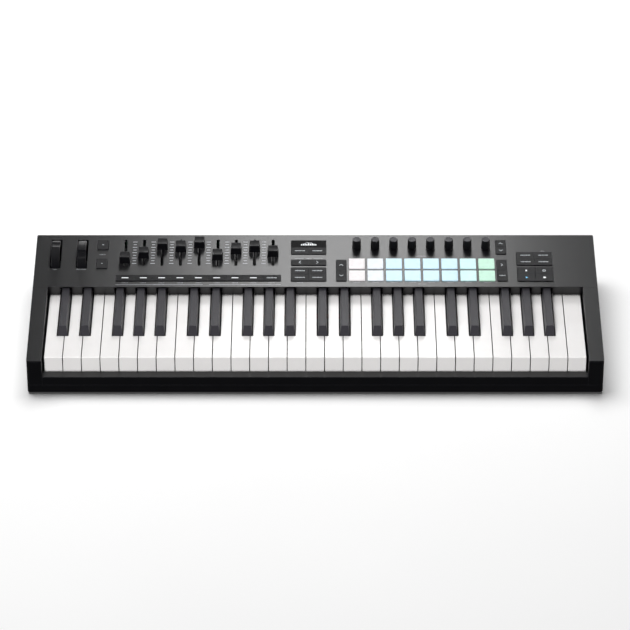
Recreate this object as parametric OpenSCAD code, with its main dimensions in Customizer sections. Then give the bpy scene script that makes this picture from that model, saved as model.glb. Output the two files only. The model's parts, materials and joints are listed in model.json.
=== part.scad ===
// 49-key keyboard controller: a two-part case, a hinged keybed, and a sloping panel of
// wheels, faders, encoders, pads and button blocks.
// Frame: millimetres, +X to the player's right, +Y to the rear, +Z up.
// Origin: on the table under the middle of the case.

/* [Case] */
// Width of each cheek beside the keys
cheek_w = 19; // [14:0.5:40]
// Depth of the case, front to back
case_d = 258; // [256:1:330]
// Height of the cheeks at the front edge, above the table
front_h = 50; // [50:1:70]
// Slope of the top surface, in degrees
slope = 4.85; // [3:0.05:8]
// Thickness of the moulded walls
wall = 2.5; // [1.8:0.1:3.2]
// Height of the joint between the case halves, above the table
split_z = 14; // [13:0.5:18]
// Radius of the case's corners, seen from above
corner_r = 4; // [2:0.5:12]
// Height of the rubber feet under the case
foot_h = 3; // [2:0.5:4]
// Radius of the rubber feet
foot_r = 8; // [5:0.5:10]
// Depth of the front rail's ledge
rail_d = 12.3; // [10:0.1:14]

/* [Keys] */
// Number of octaves; one more C is added at the top
octaves = 4; // [4:1:5]
// Width of one white key and its gap
key_pitch = 23.5; // [23:0.1:29]
// Gap between neighbouring keys
key_gap = 1.1; // [0.8:0.05:1.4]
// Gap between the end keys and the cheeks
end_gap = 2.25; // [1.5:0.05:4]
// How far the key tops lie below the cheeks' front edge
key_drop = 3; // [1:0.5:6]
// Length of a white key from its front edge to the panel's lip
key_visible = 135.9; // [130:0.1:138]
// Length of the wide front part of a white key
white_head = 48.3; // [40:0.1:56]
// Height of a white key's front face
white_front_h = 23; // [18:0.5:25]
// Depth of a key's side skirts
key_skirt = 13; // [10:0.5:15]
// Thickness of a key's top and sides
key_wall = 2; // [1.4:0.1:2.4]
// Width of a black key at its foot
black_w = 12.6; // [11:0.1:13]
// Width of a black key's flat top
black_top_w = 9.4; // [8:0.1:10.5]
// Height of the black keys above the white ones
black_h = 12; // [9:0.1:12]
// How far a black key's nose slopes back
black_nose = 4.5; // [2:0.1:8]
// Distance from a white key's front edge back to the pivot
pivot_back = 160.7; // [158:0.1:164]
// Travel of a white key at its front edge
key_dip = 10; // [7:0.5:10]
// Radius of the pivot rod
rod_r = 2; // [1.5:0.1:2.4]

/* [Panel controls] */
// Pitch of the faders, the encoders and the pads
control_pitch = 23.9; // [22.6:0.1:24.4]
// Number of faders
faders = 9; // [1:1:9]
// Travel of a fader
fader_travel = 45; // [30:1:48]
// Width of a fader cap at its foot
fader_cap_w = 14.4; // [12:0.1:17]
// Depth of a fader cap at its foot
fader_cap_d = 12.5; // [10:0.1:14]
// Height of a fader cap
fader_cap_h = 10.5; // [8:0.1:14]
// Number of encoders, and of pads in a row
encoders = 8; // [1:1:8]
// Radius of an encoder knob at its foot
encoder_r = 5.8; // [5:0.1:7]
// Height of an encoder knob
encoder_h = 13.4; // [10:0.1:18]
// Size of a pad
pad_size = 20.7; // [17:0.1:21.5]
// How far a pad stands above the panel
pad_proud = 1.5; // [1:0.1:3]
// How far a button block stands above the panel
button_proud = 1; // [0.8:0.1:1.6]
// Travel of the buttons and pads
button_travel = 1; // [0.5:0.1:1.2]
// Clearance between a control and the opening round it
fit_gap = 0.3; // [0.2:0.05:0.6]
// Radius of the pitch and modulation wheels
wheel_r = 32; // [28:0.5:33]
// Width of the wheels
wheel_w = 10.8; // [8:0.1:12]
// How far the wheels stand above the panel
wheel_proud = 13; // [8:0.5:14]

/* [Hidden] */
$fn = 48;
KEY_NODES = ["key_c", "key_c_sharp", "key_d", "key_d_sharp", "key_e", "key_f",
             "key_f_sharp", "key_g", "key_g_sharp", "key_a", "key_a_sharp", "key_b"];

// ---- Case and keybed, worked out from the sizes above ----
whites = 7 * octaves + 1;
keys_w = whites * key_pitch;
well_w = keys_w + 2 * end_gap;
case_w = well_w + 2 * cheek_w;
front_y = -case_d / 2;
back_y = case_d / 2;
key_top_z = front_h - key_drop;
rail_gap = 1;
well_y = front_y + rail_d;
key_front_y = well_y + rail_gap;
ledge_z = key_top_z - 21;
lip_y = key_front_y + key_visible;
lip_lean = 4.7;
lip_wall_t = 2;
lip_clear = 0.8;
lip_bottom_z = key_top_z + lip_clear;
lip_rear_y = lip_y + lip_lean + lip_wall_t;
lip_v = (lip_y - front_y) / cos(slope);
seam_y = lip_y - 1;
edge_cut = 1.2;
seam_gap = 0.1;
floor_z = foot_h + wall;

function top_z(y) = front_h + (y - front_y) * tan(slope);
function under_z(y) = top_z(y) - wall / cos(slope);

// ---- Keys ----
pivot_y = key_front_y + pivot_back;
pivot_z = key_top_z - 7;
boss_r = rod_r + 2.5;
boss_w = 8;
rod_clear = 0.08;
chassis_z = 9;
chassis_t = 2.5;
chassis_top = chassis_z + chassis_t;
post_w = 5;
post_d = 5;
actuator_back = 75.7;
felt_t = 2;
dip_angle = asin(key_dip / pivot_back);
key_low = key_top_z - key_skirt - 7;
white_low = max(key_top_z - white_front_h, chassis_top + felt_t + key_dip + 0.5);
black_top = min(key_top_z + black_h, under_z(lip_y) - 0.8);
black_foot = key_top_z - 9;
guide_reach = 2.5;
guide_clear = 0.4;
white_post_back = 18;
actuator_w = 4;
hook_t = 3;
beam_d = 6;
notch_gap = 1.2;
SHARPS = [1, 3, 6, 8, 10];
HEAD_OF_SLOT = [0, -1, 1, -1, 2, 3, -1, 4, -1, 5, -1, 6];

// Height of a pressed white key's underside, at a distance back from its front edge.
function pressed_under_z(back) = pivot_z + (key_top_z - key_wall - pivot_z) * cos(dip_angle)
    - (pivot_back - back) * sin(dip_angle) - guide_clear;

function is_black(n) = HEAD_OF_SLOT[n] < 0;
// Left edge of semitone n's slot at the back of the keys, from its octave's left edge.
function slot_left(n) = n < 5 ? n * 3 * key_pitch / 5 : 3 * key_pitch + (n - 5) * 4 * key_pitch / 7;
function octave_left(o) = -keys_w / 2 + o * 7 * key_pitch;

// ---- Panel controls: places across the case (x) and behind the panel's lip (v) ----
wheel_x = [-335.6, -301.6];
wheel_v = 67.8;
wheel_slot_w = wheel_w + 3.2;
wheel_slot_d = 59.6;
axle_r = 3;
octave_x = -275.4;
octave_size = [14, 20];
octave_up_v = 86.3;
octave_down_v = 47.2;
fader_x0 = -245.8;
fader_v = 70.8;
fader_slot_w = 3.9;
lever_w = 1.6;
lever_d = 3;
fader_rest = [3.9, 13.9, 32, 27.2, 35.5, 9.7, 22.5, 27.2, 17];
fader_slot_d = fader_travel + lever_d + 6.8;
strip_x = fader_x0 + (faders - 1) * control_pitch / 2;
strip_size = [faders * control_pitch - 3, 12.1];
strip_v = 17.35;
centre_x = -8.5;
block_w = 45.1;
menu_size = [block_w, 13.4];
menu_v = 73.7;
display_size = [block_w, 15.2];
display_v = menu_v + menu_size[1] / 2 + fit_gap + display_size[1] / 2;
track_size = [block_w, 11.7];
track_v = 49.55;
mode_size = [block_w, 28];
mode_v = 25.1;
pad_x0 = 53.7;
pad_front_v = 21.95;
pad_row_pitch = 24.8;
bank_w = 13.1;
pad_bank_x = 33.6;
pad_bank_size = [bank_w, 43.9];
side_v = 33.05;
encoder_v = 80.9;
encoder_bank_x = 240.8;
encoder_bank_size = [bank_w, 29.4];
encoder_bank_v = 81.7;
edit_x = 283.3;
edit_size = [46, 27.2];
edit_v = 57.5;
transport_size = [46, 28.6];
transport_v = 25.2;

// ---- Under the panel ----
flange = 1.2;
flange_gap = 0.2;
board_t = 1.6;
board_w = -(wall + flange_gap + flange + button_travel + 1.6);
board_under = board_w - board_t;
track_h = 6.5;
bushing_r = 3.6;
shaft_r = 3;
shaft_clear = 0.06;

// ---- Rear sockets ----
socket_z = 35;
jack_x = 205;
din_x = 240;
usb_x = 272;
lock_x = 330;
jack_r = 3.2;
jack_depth = 22;
jack_nose_r = 5.8;
din_nose_r = 8;
din_groove_r = 6.75;
din_core_r = 5.9;
lock_size = [7, 3];
usb_size = [9, 3.2];
usb_corner_r = 1.4;
io_board_z = 24;
usb_z = io_board_z + board_t + usb_size[1] / 2;
io_post_r = 3;
nose_gap = 0.2;

// ---- Fasteners ----
screw_r = 1.45;
screw_head_r = 2.8;
screw_l = 14;
pilot_r = 1.5;
post_r = 4;
rail_post_r = 3;
rim_r = 3.2;
rest_r = 5;
cheek_mid = well_w / 2 + cheek_w / 2;
SCREWS = [for (s = [-1, 1]) for (y = [front_y + 24, 0, back_y - 17]) [s * cheek_mid, y, post_r],
          for (x = [-209.9, -66.55, 150, 318]) [x, back_y - 11, post_r],
          for (x = [-230, 0, 230]) [x, front_y + 6.2, rail_post_r]];
FEET = [for (s = [-1, 1]) for (y = [front_y + 26, back_y - 30]) [s * (case_w / 2 - 40), y],
        [0, front_y + 26]];
RESTS = [for (x = [-300, -150, 0, 150, 300]) for (y = [well_y + 32, pivot_y - 18]) [x, y]];

// ---- Shapes used by several parts ----
module rounded(w, d, r) {
    square([w - 2 * r, d], center = true);
    square([w, d - 2 * r], center = true);
    for (x = [-1, 1]) for (y = [-1, 1]) translate([x * (w / 2 - r), y * (d / 2 - r)]) circle(r);
}

// A side outline, drawn as [y, z] points, given a width along X.
module across(w) { rotate([90, 0, 90]) linear_extrude(w, center = true) children(); }

// Places something on the panel: x across, v behind the lip, and +Z out of the panel.
module on_panel(x, v, w = 0) {
    translate([0, front_y, front_h]) rotate([slope, 0, 0]) translate([x, lip_v + v, w]) children();
}

module opening(x, v, size, r = 1.2) {
    on_panel(x, v, -wall - 2) linear_extrude(wall + 4)
        rounded(size[0] + 2 * fit_gap, size[1] + 2 * fit_gap, r);
}

module screw_places() { for (s = SCREWS) translate([s[0], s[1], 0]) children(); }

function sharp_centre(o, n) = octave_left(o) + (slot_left(n) + slot_left(n + 1)) / 2;

// ---- The case ----
module case_outline(z0) {
    polygon([[front_y, z0], [front_y, front_h - edge_cut],
             [front_y + edge_cut, top_z(front_y + edge_cut)],
             [back_y - edge_cut, top_z(back_y - edge_cut)],
             [back_y, top_z(back_y) - edge_cut], [back_y, z0]]);
}

module case_cavity() {
    across(case_w - 2 * wall)
        polygon([[front_y + wall, 0], [front_y + wall, under_z(front_y + wall)],
                 [back_y - wall, under_z(back_y - wall)], [back_y - wall, 0]]);
}

module key_well() {
    high = top_z(back_y) + 10;
    across(well_w)
        polygon([[well_y, 0], [well_y, high], [lip_y, high], [lip_y, top_z(lip_y)],
                 [lip_y + lip_lean, lip_bottom_z], [lip_rear_y + 1, lip_bottom_z], [lip_rear_y + 1, 0]]);
    translate([-well_w / 2, front_y - 1, ledge_z]) cube([well_w, rail_d + 2, high]);
}

module sharp_notches() {
    for (o = [0:octaves - 1]) for (n = SHARPS)
        translate([sharp_centre(o, n) - black_w / 2 - notch_gap, lip_y, 0])
            cube([black_w + 2 * notch_gap, lip_rear_y - lip_y + 1, under_z(lip_y)]);
}

module panel_openings() {
    for (x = wheel_x) on_panel(x, wheel_v, -wall - 2)
        linear_extrude(wall + 4) rounded(wheel_slot_w, wheel_slot_d, 0.8);
    opening(octave_x, octave_up_v, octave_size);
    opening(octave_x, octave_down_v, octave_size);
    opening(strip_x, strip_v, strip_size);
    for (i = [0:faders - 1]) on_panel(fader_x0 + i * control_pitch, fader_v, -wall - 2)
        linear_extrude(wall + 4) rounded(fader_slot_w, fader_slot_d, fader_slot_w / 2 - 0.01);
    opening(centre_x, (menu_v - menu_size[1] / 2 + display_v + display_size[1] / 2) / 2,
            [block_w, menu_size[1] + display_size[1] + fit_gap]);
    opening(centre_x, track_v, track_size);
    opening(centre_x, mode_v, mode_size);
    opening(pad_bank_x, side_v, pad_bank_size);
    for (r = [0, 1]) for (i = [0:encoders - 1])
        opening(pad_x0 + i * control_pitch, pad_front_v + r * pad_row_pitch, [pad_size, pad_size]);
    for (i = [0:encoders - 1]) on_panel(pad_x0 + i * control_pitch, encoder_v, -wall - 2)
        cylinder(h = wall + 4, r = bushing_r + nose_gap);
    opening(encoder_bank_x, encoder_bank_v, encoder_bank_size);
    opening(encoder_bank_x, side_v, pad_bank_size);
    opening(edit_x, edit_v, edit_size);
    opening(edit_x, transport_v, transport_size);
}

// Places something on the rear face: +Z runs into the case.
module on_rear(x, z, depth = 0) { translate([x, back_y - depth, z]) rotate([90, 0, 0]) children(); }

module rear_openings() {
    on_rear(jack_x, socket_z, -1) cylinder(h = wall + 2, r = jack_nose_r + nose_gap);
    on_rear(din_x, socket_z, -1) cylinder(h = wall + 2, r = din_nose_r + nose_gap);
    on_rear(usb_x, usb_z, -1) linear_extrude(wall + 2)
        rounded(usb_size[0] + 2 * nose_gap, usb_size[1] + 2 * nose_gap, usb_corner_r + nose_gap / 2);
    on_rear(lock_x, socket_z, -1) linear_extrude(wall + 2) rounded(lock_size[0], lock_size[1], 0.5);
}

// Everything above the case's joint, before it is divided at the seams.
module upper_shell() {
    difference() {
        union() {
            difference() {
                intersection() {
                    across(case_w) case_outline(split_z);
                    translate([0, 0, split_z]) linear_extrude(100) rounded(case_w, case_d, corner_r);
                }
                difference() {
                    case_cavity();
                    translate([-well_w / 2 - wall, front_y, 0])
                        cube([well_w + 2 * wall, lip_rear_y - front_y, 100]);
                }
                key_well();
                sharp_notches();
                translate([-well_w / 2 - wall, front_y + wall, 0])
                    cube([well_w + 2 * wall, rail_d - 2 * wall, ledge_z - wall]);
                panel_openings();
                rear_openings();
            }
            for (s = SCREWS) if (s[2] == post_r) translate([s[0], s[1], split_z])
                cylinder(h = under_z(s[1]) + wall / 2 - split_z, r = s[2]);
            for (s = SCREWS) if (s[2] != post_r) translate([s[0], s[1], split_z])
                cylinder(h = ledge_z - wall / 2 - split_z, r = s[2]);
        }
        screw_places() cylinder(h = floor_z + screw_l + 1, r = pilot_r);
    }
}

// The panel and the rear of the case, in one moulding.
module top_case() color([0.17, 0.17, 0.18])
    intersection() {
        upper_shell();
        translate([-case_w / 2 - 1, seam_y, 0]) cube([case_w + 2, back_y - seam_y + 1, 100]);
    }

// A cheek on either side of the keys, and the rail in front of them.
module cheeks_and_rail() color([0.17, 0.17, 0.18])
    intersection() {
        upper_shell();
        union() {
            for (x = [-case_w / 2 - 1, well_w / 2]) translate([x, front_y - 1, 0])
                cube([cheek_w + 1, seam_y - seam_gap - front_y + 1, 100]);
            translate([seam_gap - well_w / 2, front_y - 1, 0])
                cube([well_w - 2 * seam_gap, rail_d + 2, 100]);
        }
    }

module bottom_case() color([0.15, 0.15, 0.16]) {
    difference() {
        union() {
            difference() {
                translate([0, 0, foot_h]) linear_extrude(split_z - foot_h) rounded(case_w, case_d, corner_r);
                translate([0, 0, floor_z]) linear_extrude(split_z)
                    rounded(case_w - 2 * wall, case_d - 2 * wall, corner_r - 1);
            }
            for (s = SCREWS) translate([s[0], s[1], floor_z - 1])
                cylinder(h = split_z - floor_z + 1, r = s[2]);
            for (r = RESTS) translate([r[0], r[1], floor_z - 1])
                cylinder(h = chassis_z - floor_z + 1, r = rest_r);
            for (x = [jack_x - 18, usb_x + 12]) for (y = [back_y - 34, back_y - 18])
                translate([x, y, floor_z - 1]) cylinder(h = io_board_z - floor_z + 1, r = io_post_r);
        }
        screw_places() cylinder(h = split_z + 1, r = screw_r + 0.25);
        for (s = SCREWS) translate([s[0], s[1], 0]) cylinder(h = floor_z, r = min(rim_r, s[2] - 0.1));
        for (f = FEET) translate([f[0], f[1], 0]) cylinder(h = foot_h + 0.8, r = foot_r + nose_gap);
    }
}

module rubber_feet() color([0.08, 0.08, 0.08])
    for (f = FEET) translate([f[0], f[1], 0]) {
        cylinder(h = 1, r1 = foot_r - 0.8, r2 = foot_r);
        translate([0, 0, 1]) cylinder(h = foot_h - 0.2, r = foot_r);
    }

module case_screws() color([0.3, 0.3, 0.32])
    for (s = SCREWS) translate([s[0], s[1], floor_z]) difference() {
        union() {
            translate([0, 0, -1.8]) cylinder(h = 1.8, r = min(screw_head_r, s[2] - 0.3));
            translate([0, 0, -0.01]) cylinder(h = screw_l, r = screw_r);
        }
        for (a = [0, 90]) rotate(a) translate([-1.6, -0.3, -2]) cube([3.2, 0.6, 1.2]);
    }

// ---- The keybed ----
module pivot_bore(w) {
    translate([0, pivot_y, pivot_z]) rotate([0, 90, 0]) translate([0, 0, -w / 2])
        cylinder(h = w, r = rod_r + rod_clear);
}

module pivot_boss() {
    translate([0, pivot_y, pivot_z]) rotate([0, 90, 0]) translate([0, 0, -boss_w / 2])
        cylinder(h = boss_w, r = boss_r);
}

// The part of a key behind the lip: a low beam to the pivot and a hook past it for the spring.
module key_tail(x) {
    low = pivot_z - beam_d / 2;
    translate([x, 0, 0]) difference() {
        union() {
            translate([-boss_w / 2, lip_rear_y - 4, low])
                cube([boss_w, pivot_y - lip_rear_y + 4, beam_d]);
            pivot_boss();
            translate([-actuator_w / 2, pivot_y, low]) cube([actuator_w, boss_r + 4.5, hook_t]);
        }
        pivot_bore(boss_w + 2);
    }
}

// The stem under a key that presses its contact dome.
module actuator(x, top) {
    translate([x - actuator_w / 2, key_front_y + actuator_back - actuator_w / 2, key_low])
        cube([actuator_w, actuator_w, top - key_low]);
}

// A white key: head_x0..head_x1 is its wide front part, and tail_x0..tail_x1 its rear part,
// which runs back between the black keys.
module white_key(head_x0, head_x1, tail_x0, tail_x1) {
    top = key_top_z;
    skirt_z = top - key_skirt;
    mid = (tail_x0 + tail_x1) / 2;
    head_w = head_x1 - head_x0;
    tail_w = tail_x1 - tail_x0;
    head_d = white_head - key_gap;
    tail_d = lip_rear_y + 3 - key_front_y;
    inner_h = key_skirt + 1 - key_wall;
    difference() {
        union() {
            translate([head_x0, key_front_y, skirt_z]) cube([head_w, head_d, key_skirt]);
            translate([tail_x0, key_front_y, skirt_z]) cube([tail_w, tail_d, key_skirt]);
            translate([head_x0, key_front_y, white_low]) cube([head_w, key_wall, top - white_low]);
        }
        translate([head_x0 + key_wall, key_front_y + key_wall, skirt_z - 1])
            cube([head_w - 2 * key_wall, head_d - 2 * key_wall, inner_h]);
        translate([tail_x0 + key_wall, key_front_y + key_wall, skirt_z - 1])
            cube([tail_w - 2 * key_wall, tail_d - 2 * key_wall, inner_h]);
    }
    actuator(mid, top - key_wall / 2);
    key_tail(mid);
}

// A black key: sides and nose slope inwards, and its inside is hollow.
module black_key(x) {
    top = black_top;
    foot = black_foot;
    nose_y = key_front_y + white_head;
    rear = lip_rear_y - 0.2;
    difference() {
        intersection() {
            translate([x, 0, 0]) across(black_w + 10)
                polygon([[nose_y, foot], [nose_y, key_top_z], [nose_y + black_nose, top], [lip_y + 3, top],
                         [rear, top - 4], [rear, foot]]);
            translate([x, rear, 0]) rotate([90, 0, 0]) linear_extrude(rear - nose_y + 1)
                polygon([[-black_w / 2, foot], [-black_w / 2, key_top_z], [-black_top_w / 2, top],
                         [black_top_w / 2, top], [black_w / 2, key_top_z], [black_w / 2, foot]]);
        }
        translate([x - black_w / 2 + key_wall, nose_y + key_wall, foot - 1])
            cube([black_w - 2 * key_wall, rear - nose_y - 2 * key_wall, key_top_z + 2 - foot]);
    }
    actuator(x, key_top_z + 2);
    key_tail(x);
}

// All the keys of semitone n: one in each octave, and the top C with the other Cs.
module note_keys(n) color(is_black(n) ? [0.1, 0.1, 0.11] : [0.93, 0.92, 0.9]) {
    half = key_gap / 2;
    for (o = [0:octaves - 1]) {
        left = octave_left(o);
        head = left + HEAD_OF_SLOT[n] * key_pitch;
        if (is_black(n)) black_key(sharp_centre(o, n));
        else white_key(head + half, head + key_pitch - half,
                       left + slot_left(n) + half, left + slot_left(n + 1) - half);
    }
    if (n == 0) {
        left = octave_left(octaves);
        white_key(left + half, left + key_pitch - half, left + half, left + key_pitch - half);
    }
}

// Every key's middle at the pivot, from the left: [x, is it black].
function key_middles() = [
    for (o = [0:octaves - 1]) for (n = [0:11])
        [octave_left(o) + (slot_left(n) + slot_left(n + 1)) / 2, is_black(n)],
    [octave_left(octaves) + key_pitch / 2, false]];

module key_chassis() color([0.55, 0.56, 0.58]) {
    width = keys_w + 1;
    depth = pivot_y + boss_r + 8 - well_y - 3;
    // The pivot's supports stand where two white keys meet, and at both ends.
    rib_t = 2.8;
    joins = [for (o = [0:octaves - 1]) for (k = [0, 3]) octave_left(o) + k * key_pitch,
             keys_w / 2 - key_pitch, keys_w / 2 - rib_t];
    difference() {
        union() {
            translate([-width / 2, well_y + 3, chassis_z]) cube([width, depth, chassis_t]);
            for (x = joins) translate([x - rib_t / 2, pivot_y - 6, chassis_top - 1])
                cube([rib_t, 12, pivot_z - chassis_top + 5]);
        }
        translate([0, pivot_y, pivot_z]) rotate([0, 90, 0])
            cylinder(h = width + 10, r = rod_r, center = true);
    }
    // One guide post reaches up inside each key, and stays clear of it when it is down.
    for (k = key_middles()) {
        back = k[1] ? white_head + key_wall + 1.6 : white_post_back;
        foot = k[1] ? black_foot : key_top_z - key_skirt;
        head = min(foot + guide_reach, pressed_under_z(back));
        translate([k[0] - post_w / 2, key_front_y + back, chassis_top - 0.5])
            cube([post_w, k[1] ? post_d / 2 : post_d, head - chassis_top + 0.5]);
    }
}

module pivot_rod() color([0.75, 0.75, 0.77])
    translate([0, pivot_y, pivot_z]) rotate([0, 90, 0]) cylinder(h = keys_w - 1, r = rod_r, center = true);

// Return springs behind the pivot; each coil is drawn as a ring on a thin core.
module key_springs() color([0.7, 0.7, 0.72]) {
    coils = 9;
    low = chassis_top;
    high = pivot_z - 3.6;
    step = (high - low) / coils;
    for (k = key_middles()) translate([k[0], pivot_y + boss_r + 2.4, low])
        rotate_extrude() polygon([[0.9, 0], [1.5, 0],
            for (i = [0:coils - 1]) each [[2.1, (i + 0.5) * step], [1.5, (i + 1) * step]],
            [0.9, high - low]]);
}

module felt_strips() color([0.45, 0.1, 0.12]) {
    translate([-keys_w / 2 + 1, well_y + 3, chassis_top]) cube([keys_w - 2, 6, felt_t]);
    translate([-keys_w / 2 + 1, pivot_y - 22, chassis_top]) cube([keys_w - 2, 8, felt_t]);
}

module contact_domes() color([0.5, 0.5, 0.52]) {
    base = chassis_top + board_t;
    dome_h = key_low - (pivot_back - actuator_back) * sin(dip_angle) - 0.6 - base;
    translate([-keys_w / 2 + 3, key_front_y + actuator_back - 7, base]) cube([keys_w - 6, 14, 1]);
    for (k = key_middles()) translate([k[0], key_front_y + actuator_back, base + 0.5])
        cylinder(h = dome_h - 0.5, r1 = 4, r2 = 2.6);
}

// ---- Wheels ----
module wheel_frame(i) { on_panel(wheel_x[i], wheel_v, wheel_proud - wheel_r) rotate([0, 90, 0]) children(); }

// A rim on a thin web and a hub, with a finger dimple that sits at turn degrees towards the rear.
module wheel(i, turn) color([0.22, 0.22, 0.23])
    wheel_frame(i) rotate(180 - turn) difference() {
        rotate_extrude($fn = 96) polygon([
            [axle_r + shaft_clear, -wheel_w / 2], [axle_r + 3, -wheel_w / 2], [axle_r + 3, -1.5],
            [wheel_r - 4, -1.5], [wheel_r - 4, -wheel_w / 2], [wheel_r - 0.8, -wheel_w / 2],
            [wheel_r, -wheel_w / 2 + 0.8], [wheel_r, wheel_w / 2 - 0.8], [wheel_r - 0.8, wheel_w / 2],
            [wheel_r - 4, wheel_w / 2], [wheel_r - 4, 1.5], [axle_r + 3, 1.5],
            [axle_r + 3, wheel_w / 2], [axle_r + shaft_clear, wheel_w / 2]]);
        translate([wheel_r + 10.2, 0, -wheel_w]) cylinder(h = 2 * wheel_w, r = 12.5);
    }

module wheel_cradle() color([0.5, 0.5, 0.52]) {
    wheel_frame(0) translate([0, 0, -11]) cylinder(h = wheel_x[1] - wheel_x[0] + 22, r = axle_r);
    v = lip_v + wheel_v;
    hub_y = front_y + v * cos(slope) - (wheel_proud - wheel_r) * sin(slope);
    hub_z = front_h + v * sin(slope) + (wheel_proud - wheel_r) * cos(slope);
    left = wheel_x[0] - 11;
    width = wheel_x[1] - wheel_x[0] + 22;
    translate([left, hub_y - 20, floor_z]) cube([width, 40, 2.5]);
    difference() {
        for (x = [left, left + width / 2 - 1.25, left + width - 2.5])
            translate([x, hub_y - 9, floor_z + 1]) cube([2.5, 18, hub_z + 5 - floor_z]);
        translate([left - 1, hub_y, hub_z]) rotate([0, 90, 0]) cylinder(h = width + 2, r = axle_r - 0.01);
    }
}

// ---- Faders ----
module fader(i) color([0.1, 0.1, 0.11]) {
    w0 = 2;
    top = w0 + fader_cap_h;
    half_d = fader_cap_d / 2;
    half_w = fader_cap_w / 2;
    place = fader_v - fader_travel / 2 + fader_rest[i] * fader_travel / 45;
    on_panel(fader_x0 + i * control_pitch, place) {
        intersection() {
            difference() {
                across(fader_cap_w)
                    polygon([[-half_d, w0], [-half_d + 0.9, top - 1.2], [half_d - 2.6, top],
                             [half_d - 1, top], [half_d, w0]]);
                translate([0, -1.2, top + 8.4]) rotate([0, 90, 0]) cylinder(h = 30, r = 10, center = true);
            }
            translate([0, half_d + 1, 0]) rotate([90, 0, 0]) linear_extrude(fader_cap_d + 2)
                polygon([[-half_w, w0], [1.2 - half_w, top], [half_w - 1.2, top], [half_w, w0]]);
        }
        translate([-lever_w / 2, -lever_d / 2, board_under - 4])
            cube([lever_w, lever_d, w0 - board_under + 5]);
    }
}

module fader_tracks() color([0.6, 0.6, 0.62])
    for (i = [0:faders - 1]) on_panel(fader_x0 + i * control_pitch, fader_v) difference() {
        translate([-3.75, -fader_slot_d / 2 - 3, board_under - track_h])
            cube([7.5, fader_slot_d + 6, track_h]);
        translate([-1.3, -fader_slot_d / 2 + 1, board_under - track_h + 1.5])
            cube([2.6, fader_slot_d - 2, track_h]);
    }

// ---- Encoders ----
module encoder(i) color([0.11, 0.11, 0.12])
    on_panel(pad_x0 + i * control_pitch, encoder_v) {
        translate([0, 0, 0.8]) cylinder(h = 0.8, r1 = encoder_r - 0.6, r2 = encoder_r);
        translate([0, 0, 1.6]) cylinder(h = encoder_h - 1.6, r1 = encoder_r, r2 = encoder_r - 0.5);
        translate([0, 0, encoder_h]) cylinder(h = 0.8, r1 = encoder_r - 0.5, r2 = encoder_r - 1.2);
        translate([0, 0, board_under - 3]) cylinder(h = 4.5 - board_under, r = shaft_r);
    }

module encoder_bodies() color([0.6, 0.6, 0.62])
    for (i = [0:encoders - 1]) on_panel(pad_x0 + i * control_pitch, encoder_v) difference() {
        union() {
            translate([-6, -6, board_under - track_h]) cube([12, 12, track_h]);
            translate([0, 0, board_under - 1]) cylinder(h = 1.2 - board_under, r = bushing_r);
        }
        translate([0, 0, board_under - 3.5]) cylinder(h = 20, r = shaft_r + shaft_clear);
    }

// ---- Buttons and pads ----
// A button block: cols x rows keys on one moulding, with a flange that stops it under the panel.
module button_block(x, v, size, cols, rows) color([0.2, 0.2, 0.21])
    on_panel(x, v) {
        difference() {
            translate([0, 0, -wall - 1]) linear_extrude(wall + 1 + button_proud) rounded(size[0], size[1], 1);
            if (cols > 1) for (c = [1:cols - 1])
                translate([-size[0] / 2 + c * size[0] / cols - 0.2, -size[1] / 2 + 1.6, button_proud - 0.4])
                    cube([0.4, size[1] - 3.2, 1]);
            if (rows > 1) for (r = [1:rows - 1]) for (c = [0:cols - 1])
                translate([-size[0] / 2 + c * size[0] / cols + 1.4, -size[1] / 2 + r * size[1] / rows - 0.2,
                           button_proud - 0.4])
                    cube([size[0] / cols - 2.8, 0.4, 1]);
        }
        translate([0, 0, -wall - flange_gap - flange]) linear_extrude(flange)
            rounded(size[0] + 2, size[1] + 2, 1);
        for (c = [0:cols - 1]) for (r = [0:rows - 1])
            translate([-size[0] / 2 + (c + 0.5) * size[0] / cols, -size[1] / 2 + (r + 0.5) * size[1] / rows,
                       board_w + button_travel + 0.2])
                cylinder(h = -board_w - button_travel - 0.4 - wall, r = 1.8);
    }

module pad_row(r) color([0.9, 0.92, 0.93])
    on_panel(pad_x0, pad_front_v + r * pad_row_pitch) {
        for (i = [0:encoders - 1]) translate([i * control_pitch, 0, -wall - 1])
            linear_extrude(wall + 1 + pad_proud) rounded(pad_size, pad_size, 1);
        translate([-pad_size / 2 - 1, -pad_size / 2 - 1, -wall - flange_gap - flange])
            cube([(encoders - 1) * control_pitch + pad_size + 2, pad_size + 2, flange]);
    }

module display() {
    on_panel(centre_x, display_v) {
        color([0.02, 0.02, 0.03]) translate([0, 0, -wall]) linear_extrude(wall + button_proud - 0.2)
            rounded(display_size[0], display_size[1], 1);
        color([0.1, 0.3, 0.2]) translate([-display_size[0] / 2 + 1, -display_size[1] / 2 + 2, board_w])
            cube([display_size[0] - 2, display_size[1] - 3, 0.5 - board_w - wall]);
    }
}

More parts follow.
